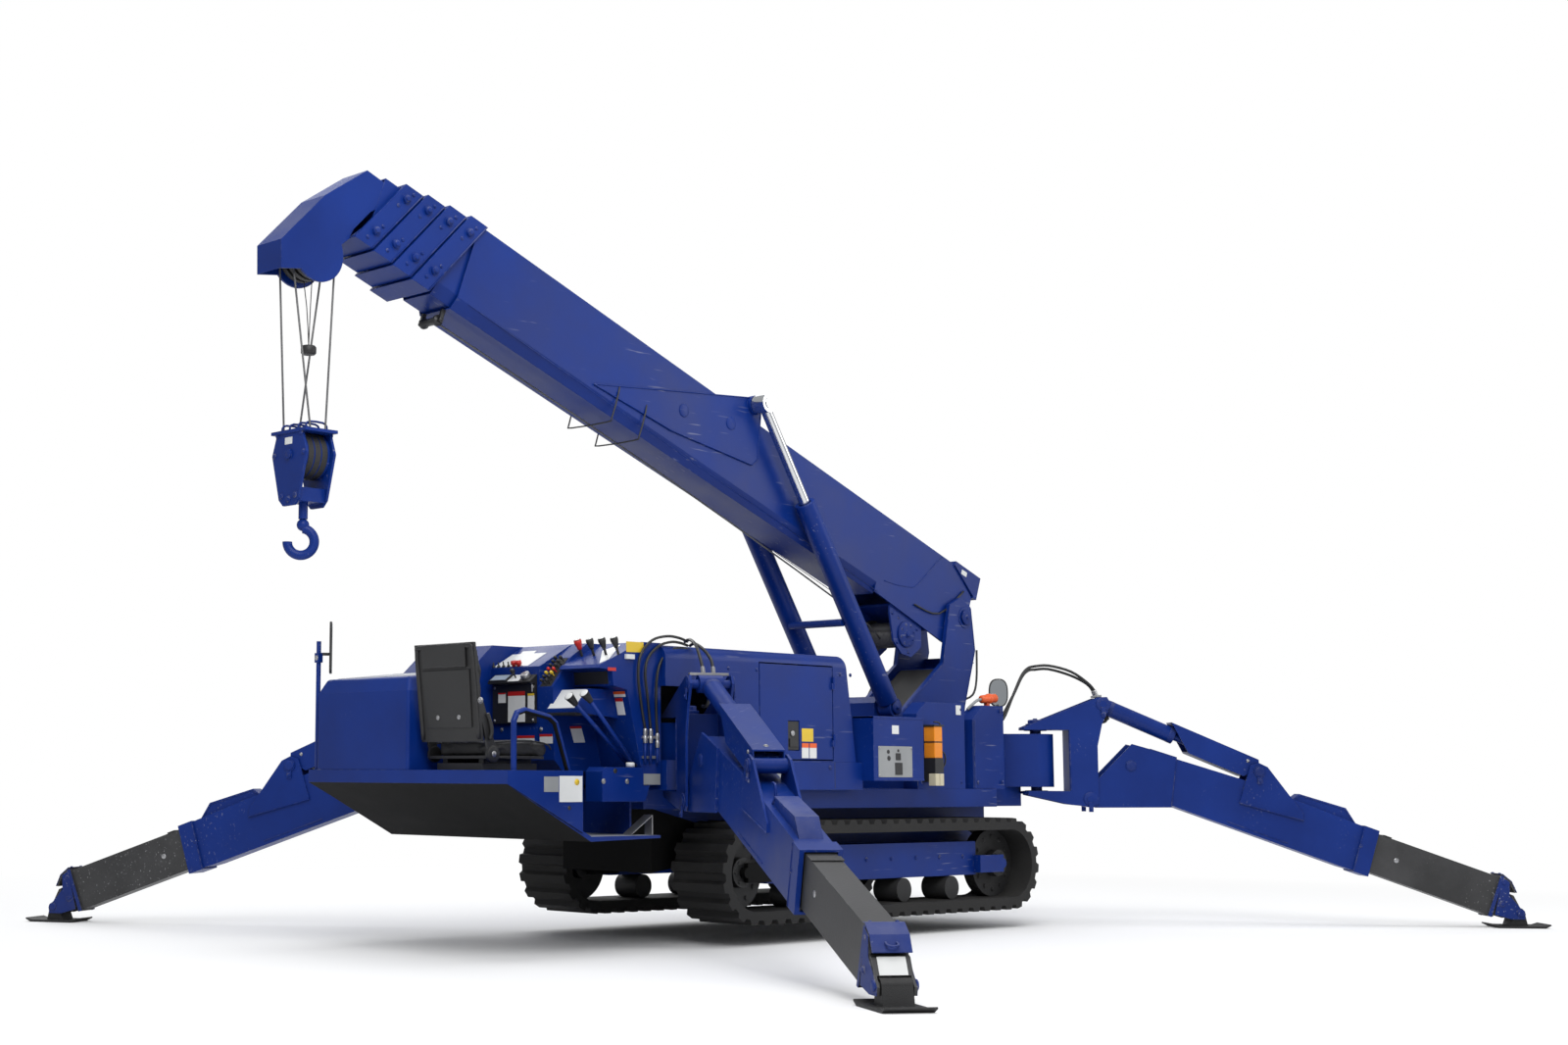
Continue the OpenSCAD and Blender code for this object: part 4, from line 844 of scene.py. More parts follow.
    white.lathe((-1.7600, -0.575, 0.8205), (-1.7600, -0.575, 0.842), [(0, 0.020), (0.9, 0.020), (1, 0.017)],
            20)
    white.box((-1.810, -0.602, 1.304), (-1.757, -0.5895, 1.325))
    white.done()
    gauge = Piece("SwitchBoxGauge", "zinc", "chassis", "black_steel", 0.0008)
    g = a.lerp(b, 0.55) + Vector((0, -0.168, 0))
    gauge.lathe(g, g + tilt * 0.022, [(0, 0.024), (0.75, 0.024), (1, 0.021)], 28)
    gauge.box((-2.030, -0.214, 1.198), (-2.0145, -0.196, 1.205))
    gauge.rod((-2.0195, -0.206, 1.160), (-2.0195, -0.206, 1.200), 0.005, 10)
    for y, z in ((0.055, 1.182), (-0.205, 1.182), (0.055, 1.032), (-0.205, 1.032)):
        gauge.bolt((-2.014, y, z), REAR, 0.0055)
    gauge.bolt((-2.0, 0.021, 0.991), REAR, 0.008)
    gauge.bolt((-2.0053, -0.2513, 0.9892), REAR, 0.008)
    for x in (-1.9533, -1.8051):
        gauge.bolt((x, -0.6, 0.7578), SIDE, 0.009)
    gauge.done()
    red = Piece("SwitchBoxRed", "red", "chassis", "black_steel")
    for y in (-0.052, -0.085):
        x = -1.990
        z = 1.276 + (x + 2.0) * 0.5389
        red.lathe((x, y, z - 0.001), (x - 0.006, y, z + 0.026), [(0, 0.010), (0.3, 0.010), (0.4, 0.015),
                (1, 0.013)], 16)
    red.done()

    # Hand levers: blue stems and knobs over the plain ones, the first knob red
    for i in range(4):
        base = Vector((-1.85, -0.357 - 0.078 * i, 1.3216))
        d = Vector((-0.389, 0, 0.921))
        k = Piece(f"BankKnob{i}", "red" if i == 0 else "plastic", "chassis", "black_plastic")
        k.lathe(base + d * 0.0335, base + d * 0.0815, [(0, 0.0095), (0.15, 0.011), (0.7, 0.0178),
                (0.92, 0.0178), (1, 0.012)], 24)
        k.done()
        t = Piece(f"BankKnobTop{i}", "white", "chassis", "black_plastic")
        t.lathe(base + d * 0.0812, base + d * 0.0832, [(0, 0.0115), (1, 0.0105)], 20)
        t.done()
    lev = Piece("TravelLeverTops", "white", "chassis", "black_plastic")
    d = Vector((-math.sin(math.radians(50)), 0, math.cos(math.radians(50))))
    for x, y, z in ((-2.078, -0.530, 1.113), (-2.020, -0.566, 1.127)):
        at = Vector((x, y, z)) + d * 0.0272
        lev.lathe(at, at + d * 0.004, [(0, 0.0205), (0.5, 0.019), (1, 0.012)], 24)
    lev.done()
    stems = Piece("TravelLeverStems", "blue", "chassis", "black_plastic")
    for x, y, z in ((-2.078, -0.530, 1.113), (-2.020, -0.566, 1.127)):
        a, b = Vector((x, y, z)), Vector((-1.722, y, 0.8293))
        stems.rod(a.lerp(b, 0.07), a.lerp(b, 0.985), 0.0097, 16)
    stems.done()

    # Sloping tread plate on the floor
    tread = Piece("FootTread", "zinc", bevel=0.001)
    a, b = Vector((-1.775, 0, 0.5215)), Vector((-1.640, 0, 0.606))
    tread.slab([b + Vector((0, -0.545, 0)), b + Vector((0, -0.60, 0)), a + Vector((0, -0.60, 0)),
            a + Vector((0, -0.545, 0))], (-0.53, 0, 0.85), 0.004)
    tread.box((-1.642, -0.596, 0.5205), (-1.636, -0.549, 0.604))
    tread.done()

    # Quick couplers on the console's side and their hoses
    cp = Piece("HoseCouplers", "zinc", bevel=0.0008)
    pipes = Piece("CouplerPipes", "blue")
    hose = Piece("ConsoleHoses", "hose")
    ends = ((-1.690, [(-1.690, -0.601, 0.995), (-1.715, -0.602, 1.10), (-1.735, -0.602, 1.23),
            (-1.715, -0.600, 1.33), (-1.640, -0.598, 1.395), (-1.540, -0.596, 1.418),
            (-1.455, -0.592, 1.414), (-1.397, -0.590, 1.400)]), (-1.655,
            [(-1.655, -0.601, 0.995), (-1.672, -0.602, 1.12), (-1.690, -0.602, 1.24),
            (-1.668, -0.600, 1.315), (-1.600, -0.600, 1.370), (-1.520, -0.598, 1.392),
            (-1.455, -0.594, 1.392), (-1.397, -0.590, 1.382)]), (-1.612,
            [(-1.612, -0.601, 0.975), (-1.618, -0.601, 1.08), (-1.616, -0.601, 1.20),
            (-1.600, -0.601, 1.275), (-1.560, -0.600, 1.330), (-1.500, -0.597, 1.360),
            (-1.450, -0.594, 1.368), (-1.397, -0.590, 1.364)]))
    for x, route in ends:
        top = route[0][2]
        cp.lathe((x, -0.601, top - 0.066), (x, -0.601, top), [(0, 0.009), (0.15, 0.0105), (0.45, 0.0105),
                (0.5, 0.008), (0.55, 0.0105), (0.9, 0.0105), (1, 0.007)], 16)
        pipes.rod((x, -0.600, 0.838), (x, -0.601, top - 0.064), 0.0065, 12)
        hose.tube(route, 0.0062, 10, 4)
    for z in (0.86, 0.95):
        cp.box((-1.702, -0.5985, z), (-1.600, -0.5895, z + 0.012))
    cp.done()
    pipes.done()
    hose.done()

    top = Piece("HoodTopPanel", "pale", bevel=0.001)
    z0, z1 = 1.219 + 0.0021, 1.259 - 0.0021
    top.slab([(-2.200, 0.560, z1), (-2.200, 0.035, z1), (-2.540, 0.035, z0), (-2.540, 0.560, z0)],
            (-0.1, 0, 1), 0.002)
    top.done()


console_details()


# ---------------------------------------------------------------- engine cover, boxes, beacon, mirrors

def side_details():
    e = Piece("SkirtBolts", "blue_worn")
    for y, n in ((-0.6199, -1), (0.6199, 1)):
        for x in (-0.780, -0.415, -1.10, -1.42):
            if not (x < -1.2 and y):
                e.bolt((x, y, 0.828), (0, n, 0), 0.008)
        for x in (-1.15, -0.95, -0.33, -0.25):
            e.bolt((x, y, 1.285), (0, n, 0), 0.007)
    for x in (-0.95, -0.40):
        for y in (-0.40, -0.13, 0.13, 0.40):
            e.bolt((x, y, 1.3779), (0, 0, 1), 0.008)
    e.done()
    seam = Piece("CoverSeams", "plastic")
    for y in (-0.6203, 0.6195):
        seam.box((-0.3795, y, 0.727), (-0.3765, y + 0.0008, 0.852))
    seam.box((-0.943, -0.55, 1.3772), (-0.940, 0.55, 1.3783))
    seam.done()
    label("SkirtPlate", on_side(-0.620, -0.838, -0.732, 0.733, 0.807), SIDE, look="grey")

    d = Piece("DoorLatch", "plastic", "door", bevel=0.0015)
    d.box((-0.724, -0.6172, 0.911), (-0.645, -0.6085, 1.047))
    d.box((-0.716, -0.6235, 0.925), (-0.653, -0.6170, 0.965))
    d.done()
    lk = Piece("DoorLock", "zinc", "door", bevel=0.0006)
    lk.lathe((-0.692, -0.6170, 0.990), (-0.692, -0.6235, 0.990), [(0, 0.013), (0.7, 0.013), (1, 0.011)], 24)
    lk.box((-0.694, -0.6240, 0.982), (-0.690, -0.6232, 0.998))
    lk.done()
    for n, x0, x1, z0, z1, look, band in (("DoorLabelA", -0.626, -0.541, 0.952, 1.015, "yellow", None),
            ("DoorLabelB", -0.627, -0.576, 0.872, 0.944, "white", "orange"),
            ("DoorLabelC", -0.569, -0.517, 0.872, 0.944, "white", "orange")):
        label(n, on_side(-0.620, x0, x1, z0, z1), SIDE, band, "door", look, 0.3)

    # Side box: lid's lip, sticker and a pale instrument panel with dark dials
    b = Piece("SideBoxLip", "blue", bevel=0.0015)
    b.box((-0.1627, -0.6925, 1.0735), (0.2445, -0.5605, 1.0845))
    b.box((-0.1627, -0.6915, 0.7655), (0.2445, -0.689, 0.7745))
    b.done()
    label("SideBoxSticker", on_side(-0.690, -0.014, 0.040, 0.998, 1.041), SIDE)
    label("SideBoxPanel", on_side(-0.690, -0.126, 0.146, 0.783, 0.937), SIDE, look="grey")
    dials = Piece("SideBoxDials", "plastic")
    for x, z, r in ((-0.048, 0.909, 0.010), (-0.044, 0.877, 0.012), (0.032, 0.915, 0.007)):
        dials.lathe((x, -0.6912, z), (x, -0.6945, z), [(0, r), (0.7, r), (1, r * 0.8)], 20)
    dials.box((0.012, -0.6940, 0.868), (0.050, -0.6912, 0.902))
    dials.box((0.006, -0.6945, 0.795), (0.062, -0.6912, 0.855))
    dials.done()
    sc = Piece("SideBoxScrews", "zinc")
    for x in (-0.118, 0.138):
        for z in (0.791, 0.929):
            sc.bolt((x, -0.6912, z), SIDE, 0.0055)
    sc.done()

    # Beacon: two amber lenses, a dark foot, pale blocks and a wire guard
    am = Piece("BeaconLenses", "amber", "chassis", "amber_lens", 0.004, replaces=("beacon",))
    am.box((0.396, -0.645, 0.966), (0.464, -0.577, 1.045))
    am.box((0.396, -0.645, 0.882), (0.464, -0.577, 0.963))
    am.done()
    bk = Piece("BeaconFoot", "plastic", "chassis", "amber_lens", 0.003)
    bk.box((0.395, -0.648, 0.806), (0.467, -0.574, 0.882))
    bk.box((0.393, -0.647, 0.962), (0.467, -0.575, 0.967))
    bk.box((0.395, -0.600, 0.760), (0.465, -0.5605, 0.806))
    bk.box((0.388, -0.650, 1.045), (0.472, -0.572, 1.053))
    bk.tube([(0.470, -0.61, 0.86), (0.492, -0.61, 0.88), (0.494, -0.61, 1.04), (0.478, -0.61, 1.066),
            (0.440, -0.61, 1.068)], 0.004, 8, 3)
    bk.tube([(0.470, -0.62, 0.92), (0.54, -0.60, 0.905), (0.56, -0.585, 0.85), (0.50, -0.575, 0.80)], 0.005,
            8, 4)
    bk.done()
    cr = Piece("BeaconBlocks", "cream", "chassis", "amber_lens", 0.003)
    cr.box((0.395, -0.650, 0.741), (0.428, -0.605, 0.803))
    cr.box((0.433, -0.650, 0.741), (0.466, -0.605, 0.803))
    cr.done()

    # Mirror by the hood: post, knob, dark shell and glass
    post = Piece("MirrorPost", "blue", bevel=0.0005, replaces=("view_mirror",))
    post.rod((-2.585, 0.655, 0.8035), (-2.585, 0.655, 1.400), 0.011, 20)
    post.box((-2.598, 0.640, 1.300), (-2.572, 0.670, 1.345))
    post.done()
    turn = Matrix.Translation((-2.585, 0.655, 0)) @ Matrix.Rotation(math.radians(52), 4, "Z")
    shell = Piece("MirrorShell", "plastic", bevel=0.003).at(turn)
    rim, glass = [], []
    for k in range(28):
        a = 2 * math.pi * k / 28
        cx, cz = math.copysign(1, math.cos(a)) * 0.055, math.copysign(1, math.sin(a)) * 0.095
        rim.append((cx + 0.025 * math.cos(a), 1.370 + cz + 0.025 * math.sin(a)))
        glass.append((cx + 0.017 * math.cos(a), 1.370 + cz + 0.017 * math.sin(a)))
    shell.plate(rim, "y", -0.062, -0.050)
    shell.box((-0.006, -0.051, 1.333), (0.006, -0.008, 1.347))
    shell.done()
    gl = Piece("MirrorGlass", "glass").at(turn)
    gl.plate(glass, "y", -0.0628, -0.0618)
    gl.done()
    kn = Piece("MirrorKnob", "zinc")
    kn.bolt((-2.597, 0.655, 1.322), REAR, 0.009)
    kn.done()


side_details()


def front_details():
    # Orange plug lying on the front cover, its cable, and the round mirror beyond it
    o = Piece("OrangePlug", "orange", bevel=0.0008)
    a, b = Vector((1.010, -0.500, 1.203)), Vector((1.128, -0.505, 1.212))
    o.lathe(a, b, [(0, 0.014), (0.06, 0.022), (0.5, 0.024), (0.52, 0.028), (0.62, 0.028), (0.64, 0.025),
            (1, 0.025)], 24)
    o.box((1.050, -0.512, 1.168), (1.075, -0.490, 1.186))
    o.done()
    c = Piece("PlugCable", "grey")
    c.tube([(1.012, -0.500, 1.203), (0.975, -0.500, 1.196), (0.935, -0.495, 1.172), (0.915, -0.480, 1.147)],
            0.008, 10, 4)
    c.done()
    ring = Piece("FrontMirrorShell", "plastic", bevel=0.002)
    gl = Piece("FrontMirrorGlass", "glass")
    n = Vector((-0.75, -0.66, 0.0))
    w = Vector((0.66, -0.75, 0.0))
    mid = Vector((1.215, -0.470, 1.245))
    for p, rx, rz, lo, hi in ((ring, 0.052, 0.078, -0.006, 0.006), (gl, 0.045, 0.071, 0.0055, 0.0072)):
        pts = []
        for k in range(32):
            t = 2 * math.pi * k / 32
            x = math.copysign(abs(math.cos(t)) ** 0.75, math.cos(t)) * rx
            z = math.copysign(abs(math.sin(t)) ** 0.75, math.sin(t)) * rz
            pts.append(mid + w * x + Vector((0, 0, z)))
        p.slab([q + n * lo for q in pts], n, hi - lo, 0.0)
    ring.rod((1.135, -0.470, 1.150), (1.215, -0.468, 1.180), 0.007, 12)
    ring.done()
    gl.done()
    ed = Piece("FrontCoverEdges", "blue_worn", bevel=0.001)
    for y in (-1, 1):
        for x0, x1, z0, z1 in ((0.360, 0.440, 1.110, 1.172), (0.857, 0.957, 1.090, 1.168)):
            a, b = sorted((y * 0.5602, y * 0.5625))
            ed.box((x0, a, 0.726), (x0 + 0.012, b, z0 - 0.002))
        for x, z in ((0.40, 0.76), (0.74, 0.76), (0.74, 1.14), (0.89, 0.76), (1.11, 0.76), (1.11, 1.14)):
            ed.bolt((x, y * 0.5598, z), (0, y, 0), 0.007)
    ed.done()
    label("FrontCoverSticker", on_side(-0.560, 0.700, 0.742, 1.112, 1.162), SIDE)

    # Column: pin caps, weld lines, the worn slope between the cheeks and the hose bundle at its back
    cl = Piece("ColumnFittings", "blue_worn", "column", bevel=0.001)
    for y in (-1, 1):
        for (x, z), r, w0 in (((1.339, 1.680), 0.035, 0.181), ((0.594, 1.154), 0.028, 0.255)):
            cl.lathe((x, y * (w0 - 0.001), z), (x, y * (w0 + 0.007), z),
                    [(0, r + 0.008), (0.7, r + 0.008), (1, r + 0.004)], 28)
            cl.bolt((x, y * (w0 + 0.0065), z), (0, y, 0), 0.010)
        cl.tube([(0.716, y * 0.1715, 1.105), (1.128, y * 0.1715, 1.412), (1.198, y * 0.1715, 1.735)], 0.003,
                6, 1)
        cl.tube([(1.303, y * 0.1715, 1.070), (1.320, y * 0.1715, 1.182), (1.426, y * 0.1715, 1.498),
                (1.393, y * 0.1715, 1.735)], 0.003, 6, 1)
    cl.done()
    sl = Piece("ColumnSlope", "iron", "column")
    sl.slab([(0.768, -0.138, 1.1156), (0.768, 0.138, 1.1156), (1.152, 0.138, 1.3844),
            (1.152, -0.138, 1.3844)], (-0.57, 0, 0.82), 0.0015, 0.0)
    sl.done()
    hb = Piece("ColumnHoses", "hose", "column")
    for k, y in enumerate((-0.125, -0.100, -0.075)):
        dx = 0.010 * k
        hb.tube([(1.392 + dx, y, 1.765), (1.448 + dx, y, 1.700), (1.462 + dx, y, 1.560),
                (1.430 + dx, y, 1.400), (1.385 + dx, y, 1.290), (1.322 + dx, y, 1.212)], 0.0085 - 0.001 * k,
                10, 4)
    hb.tube([(1.322, -0.150, 1.215), (1.37, -0.19, 1.245), (1.41, -0.19, 1.33), (1.452, -0.165, 1.50)],
            0.006, 10, 4)
    hb.done()
    tie = Piece("ColumnHoseTie", "zinc", "column")
    tie.rod((1.440, -0.150, 1.430), (1.470, -0.060, 1.430), 0.004, 8)
    tie.done()
    wh = Piece("WinchHoses", "hose", "boom_base").at(BOOM)
    for k, y in enumerate((-0.095, -0.070)):
        wh.tube([(0.620, y, -0.176), (0.660, y, -0.240), (0.640, y, -0.300), (0.585, y, -0.315),
                (0.520, y, -0.300)], 0.008 - 0.001 * k, 10, 4)
    wh.tube([(0.03, 0.1490, 0.15), (0.20, 0.1485, -0.06), (0.42, 0.1470, -0.10)], 0.005, 8, 4)
    wh.tube([(-0.055, 0.10, 0.20), (-0.105, 0.10, 0.10), (-0.115, 0.10, 0.0), (-0.080, 0.10, -0.075)],
            0.0085, 10, 4)
    wh.tube([(-0.055, 0.075, 0.20), (-0.115, 0.075, 0.10), (-0.125, 0.075, 0.0), (-0.088, 0.075, -0.075)],
            0.0075, 10, 4)
    wh.done()


front_details()


def leg_hoses():
    for name, place in LEGS.items():
        m = leg_matrix(place)
        h = Piece(f"LegHoses_{name}", "hose", f"bracket_{name}").at(m)
        for y, z in ((-0.012, 1.400), (0.012, 1.382)):
            h.tube([(0, y, z), (0.08, y, z + 0.004), (0.20, y * 1.5, z - 0.03), (0.29, y * 2, 1.305),
                    (0.325, y * 2, 1.262)], 0.0075, 10, 4)
        h.done()
        f = Piece(f"LegHoseEnds_{name}", "zinc", f"bracket_{name}", bevel=0.0006).at(m)
        for y in (-0.024, 0.024):
            f.lathe((0.322, y, 1.268), (0.333, y, 1.238), [(0, 0.009), (0.3, 0.011), (1, 0.011)], 6)
        f.box((0.322, -0.090, 1.228), (0.348, 0.090, 1.240))
        f.done()
    c = Piece("FrontHoses", "hose")
    for y in (-1, 1):
        for k in (0, 1):
            c.tube([(1.141, y * (0.49 - 0.03 * k), 1.080 - 0.03 * k), (1.21, y * (0.50 - 0.02 * k), 1.10),
                    (1.30, y * 0.505, 1.23), (1.39, y * 0.503, 1.345 - 0.01 * k),
                    (1.455, y * 0.501, 1.388 - 0.014 * k), (1.513, y * 0.500, 1.400 - 0.018 * k)], 0.0075,
                    10, 4)
    for k in (0, 1):
        c.tube([(-1.46, 0.52 + 0.02 * k, 1.26), (-1.50, 0.57, 1.34), (-1.46, 0.60, 1.39),
                (-1.397, 0.590, 1.400 - 0.018 * k)], 0.0075, 10, 4)
    c.done()


leg_hoses()


# ---------------------------------------------------------------- seat


SHRINK, VOXEL, CAP = 0.013, 0.006, 0.016
PRESSURE, LAST_FRAME = 4, 20


def cushion(name, outline, y0, y1, fill):
    """A padded form blown up inside its outline: cloth with pressure, moves capped, then one subdivision."""
    cx = sum(p[0] for p in outline) / len(outline)
    cz = sum(p[1] for p in outline) / len(outline)
    small = []
    for x, z in outline:
        d = Vector((cx - x, cz - z))
        small.append((x + d.normalized().x * min(SHRINK, d.length * 0.3),
                z + d.normalized().y * min(SHRINK, d.length * 0.3)))
    bm = bmesh.new()
    rows = [[bm.verts.new((x, y, z)) for x, z in small] for y in (y0 + SHRINK, y1 - SHRINK)]
    n = len(small)
    bm.faces.new(rows[0][::-1])
    bm.faces.new(rows[1])
    for i in range(n):
        bm.faces.new((rows[0][i], rows[0][(i + 1) % n], rows[1][(i + 1) % n], rows[1][i]))
    bmesh.ops.recalc_face_normals(bm, faces=bm.faces)
    me = bpy.data.meshes.new(name)
    bm.to_mesh(me)
    bm.free()
    o = add_object(name, me)

    vox = o.modifiers.new("Voxels", "REMESH")
    vox.mode = "VOXEL"
    vox.voxel_size = VOXEL
    soft = o.modifiers.new("Relax", "SMOOTH")
    soft.iterations = 6
    start = [v.co.copy() for v in applied(o).vertices]
    cl = o.modifiers.new("Pressure", "CLOTH")
    cl.settings.use_pressure = True
    cl.settings.uniform_pressure_force = PRESSURE
    cl.settings.quality = 5
    cl.settings.effector_weights.gravity = 0
    cl.point_cache.frame_start, cl.point_cache.frame_end = 1, LAST_FRAME
    for f in range(1, LAST_FRAME + 1):
        bpy.context.scene.frame_set(f)
    applied(o)
    bpy.context.scene.frame_set(1)
    edges = []
    for i, (x, z) in enumerate(outline):
        x2, z2 = outline[(i + 1) % n]
        out = Vector((z2 - z, x - x2)).normalized()
        if out.dot(Vector((cx - x, cz - z))) > 0:
            out = -out
        edges.append((Vector((x, z)), out))
    for v, s in zip(o.data.vertices, start):
        step = v.co - s
        if step.length > CAP:
            v.co = s + step.normalized() * CAP
        v.co.y = min(max(v.co.y, y0), y1)
        for a, out in edges:
            over = (Vector((v.co.x, v.co.z)) - a).dot(out)
            if over > 0:
                v.co.x -= out.x * over
                v.co.z -= out.y * over
    sub = o.modifiers.new("Finer", "SUBSURF")
    sub.levels = sub.render_levels = 1
    applied(o)
    for p in o.data.polygons:
        p.use_smooth = True
    o.data.materials.clear()
    o.data.materials.append(M["vinyl"])
    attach(o, "chassis")
    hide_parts("seat_pads")
    return o


SEAT_Y = (-0.443, -0.077)
cushion("CushionPad", [(-2.495, 0.866), (-2.120, 0.866), (-2.105, 0.891), (-2.120, 0.921), (-2.240, 0.938),
        (-2.495, 0.926)], *SEAT_Y, 0.7)
cushion("BackPad", [(-2.5356, 0.926), (-2.495, 0.945), (-2.515, 1.250), (-2.550, 1.350), (-2.5854, 1.350)],
        *SEAT_Y, 0.7)


def shell_x(z):
    """Rear face of the seat's shell at a height."""
    return -2.598 + (1.350 - z) * 0.050 / 0.425


def seat_details():
    rim = Piece("ChairShellRim", "plastic", "chassis", "black_steel")
    ys = (-0.446, -0.074)
    path = [(shell_x(0.935), ys[0], 0.935), (shell_x(1.20), ys[0], 1.20),
            (shell_x(1.315), ys[0] + 0.003, 1.315), (shell_x(1.336), ys[0] + 0.022, 1.336),
            (shell_x(1.338), -0.26, 1.338), (shell_x(1.336), ys[1] - 0.022, 1.336),
            (shell_x(1.315), ys[1] - 0.003, 1.315), (shell_x(1.20), ys[1], 1.20),
            (shell_x(0.935), ys[1], 0.935)]
    rim.tube(path, 0.011, 12, 4)
    rim.done()
    flap = Piece("ChairFlap", "vinyl", "chassis", "seat_vinyl", 0.005)
    flap.slab([(shell_x(1.343), -0.408, 1.343), (shell_x(1.343), -0.112, 1.343),
            (shell_x(1.243), -0.118, 1.243), (shell_x(1.243), -0.402, 1.243)], (-0.993, 0, 0.117), 0.012)
    flap.done()
    panel = Piece("ChairBackPanel", "vinyl", "chassis", "seat_vinyl", 0.003)
    panel.slab([(shell_x(1.235), -0.420, 1.235), (shell_x(1.235), -0.100, 1.235),
            (shell_x(0.985), -0.112, 0.985), (shell_x(0.985), -0.408, 0.985)], (-0.993, 0, -0.117), 0.006)
    panel.done()
    z = Piece("ChairScrews", "zinc", "chassis", "black_steel", 0.0006)
    for y in (-0.330, -0.190):
        z.bolt((shell_x(1.03) - 0.006, y, 1.03), REAR, 0.008)
    z.lathe((-2.480, -0.4595, 0.872), (-2.480, -0.4675, 0.872), [(0, 0.013), (0.7, 0.013), (1, 0.010)], 20)
    z.bolt((-2.556, -0.4585, 1.100), SIDE, 0.011)
    z.done()
    d = Piece("ChairHinge", "plastic", "chassis", "black_steel", 0.002)
    d.lathe((-2.480, -0.4590, 0.872), (-2.480, -0.4640, 0.872), [(0, 0.034), (0.6, 0.034), (1, 0.029)], 28)
    d.tube([(-2.520, -0.463, 1.045), (-2.506, -0.466, 1.010), (-2.498, -0.468, 0.965),
            (-2.505, -0.464, 0.935)], 0.009, 10, 3)
    d.done()
    pipe = Piece("ChairPiping", "vinyl", "chassis", "seat_vinyl")
    for y in (-0.432, -0.088):
        pipe.tube([(-2.485, y, 0.921), (-2.36, y, 0.928), (-2.245, y, 0.932), (-2.140, y, 0.918),
                (-2.116, y, 0.895)], 0.004, 8, 4)
    pipe.done()


seat_details()

# ---------------------------------------------------------------- painted shade on the undersides, and the worn floor


def repaint(node, look, test):
    """Give a second material, painted shade or the dusty panel, to the faces of a CAD node that pass a test.
    """
    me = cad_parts[node].data
    me.materials.append(M[look])
    k = len(me.materials) - 1
    for p in me.polygons:
        if test(p.center, p.normal):
            p.material_index = k


# Painted shade: downward faces of the platform, hood and undercarriage, and the low rear of the
# undercarriage, get the near-black material
repaint("platform", "painted_shade", lambda c, n: n.z < -0.2)
repaint("platform", "pale", lambda c, n: n.z > 0.9 and c.z < 0.56)
repaint("undercarriage", "painted_shade", lambda c, n: (c.x < -0.9 and c.z < 0.62) or n.z < -0.5)
repaint("tank_hood", "painted_shade", lambda c, n: n.z < -0.3)

# ---------------------------------------------------------------- bolts in rows, by Geometry Nodes


def bolt_group():
    """Bolt heads set on every point of a mesh, turned one way and made one mesh."""
    g = bpy.data.node_groups.new("BoltHeads", "GeometryNodeTree")
    face = g.interface
    face.new_socket(name="Geometry", in_out="INPUT", socket_type="NodeSocketGeometry")
    ids = {}
    for name, kind, value in (("Radius", "NodeSocketFloat", 0.008), ("Height", "NodeSocketFloat", 0.006),
            ("Turn", "NodeSocketVector", (0, 0, 0)), ("Look", "NodeSocketMaterial", None)):
        s = face.new_socket(name=name, in_out="INPUT", socket_type=kind)
        if value is not None:
            s.default_value = value
        ids[name] = s.identifier
    face.new_socket(name="Geometry", in_out="OUTPUT", socket_type="NodeSocketGeometry")
    i = g.nodes.new("NodeGroupInput")
    o = g.nodes.new("NodeGroupOutput")
    parts = g.nodes.new("GeometryNodeJoinGeometry")
    for sides, grow, tall in ((6, 1.0, 1.0), (16, 1.35, 0.35)):
        c = g.nodes.new("GeometryNodeMeshCylinder")
        c.inputs["Vertices"].default_value = sides
        link(g, math_node(g, "MULTIPLY", i.outputs["Radius"], grow), c.inputs["Radius"])
        depth = math_node(g, "MULTIPLY", i.outputs["Height"], tall * 2)
        link(g, depth, c.inputs["Depth"])
        link(g, c.outputs["Mesh"], parts.inputs[0])
    inst = g.nodes.new("GeometryNodeInstanceOnPoints")
    link(g, i.outputs["Geometry"], inst.inputs["Points"])
    link(g, parts.outputs[0], inst.inputs["Instance"])
    link(g, i.outputs["Turn"], inst.inputs["Rotation"])
    real = g.nodes.new("GeometryNodeRealizeInstances")
    link(g, inst.outputs[0], real.inputs[0])
    setm = g.nodes.new("GeometryNodeSetMaterial")
    link(g, real.outputs[0], setm.inputs["Geometry"])
    link(g, i.outputs["Look"], setm.inputs["Material"])
    link(g, setm.outputs[0], o.inputs[0])
    return g, ids


BOLTS, BOLT_IDS = bolt_group()


def bolt_row(name, body, look, points, axis, radius, height=None, place=None):
    """A row of bolt heads on a face."""
    place = place or Matrix.Identity(4)
    me = bpy.data.meshes.new(name)
    me.from_pydata([tuple(place @ Vector(p)) for p in points], [], [])
    o = add_object(name, me)
    md = o.modifiers.new("Bolts", "NODES")
    md.node_group = BOLTS
    turn = (place.to_3x3() @ Vector(axis)).to_track_quat("Z", "Y").to_euler()
    md[BOLT_IDS["Radius"]] = radius
    md[BOLT_IDS["Height"]] = height or radius * 0.7
    md[BOLT_IDS["Turn"]] = tuple(turn)
    md[BOLT_IDS["Look"]] = M[look]
    o.update_tag()
    applied(o)
    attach(o, body)
    return o


def circle_points(x, y, z, r, n, axis="y"):
    out = []
    for k in range(n):
        t = 2 * math.pi * k / n
        u, v = r * math.cos(t), r * math.sin(t)
        out.append((x + u, y, z + v) if axis == "y" else (x + u, y + v, z))
    return out


AXLE_X0, AXLE_X1, AXLE_Z = -1.038, 0.996, 0.335
TRACK_Y, WHEEL_R = 0.527, 0.1767


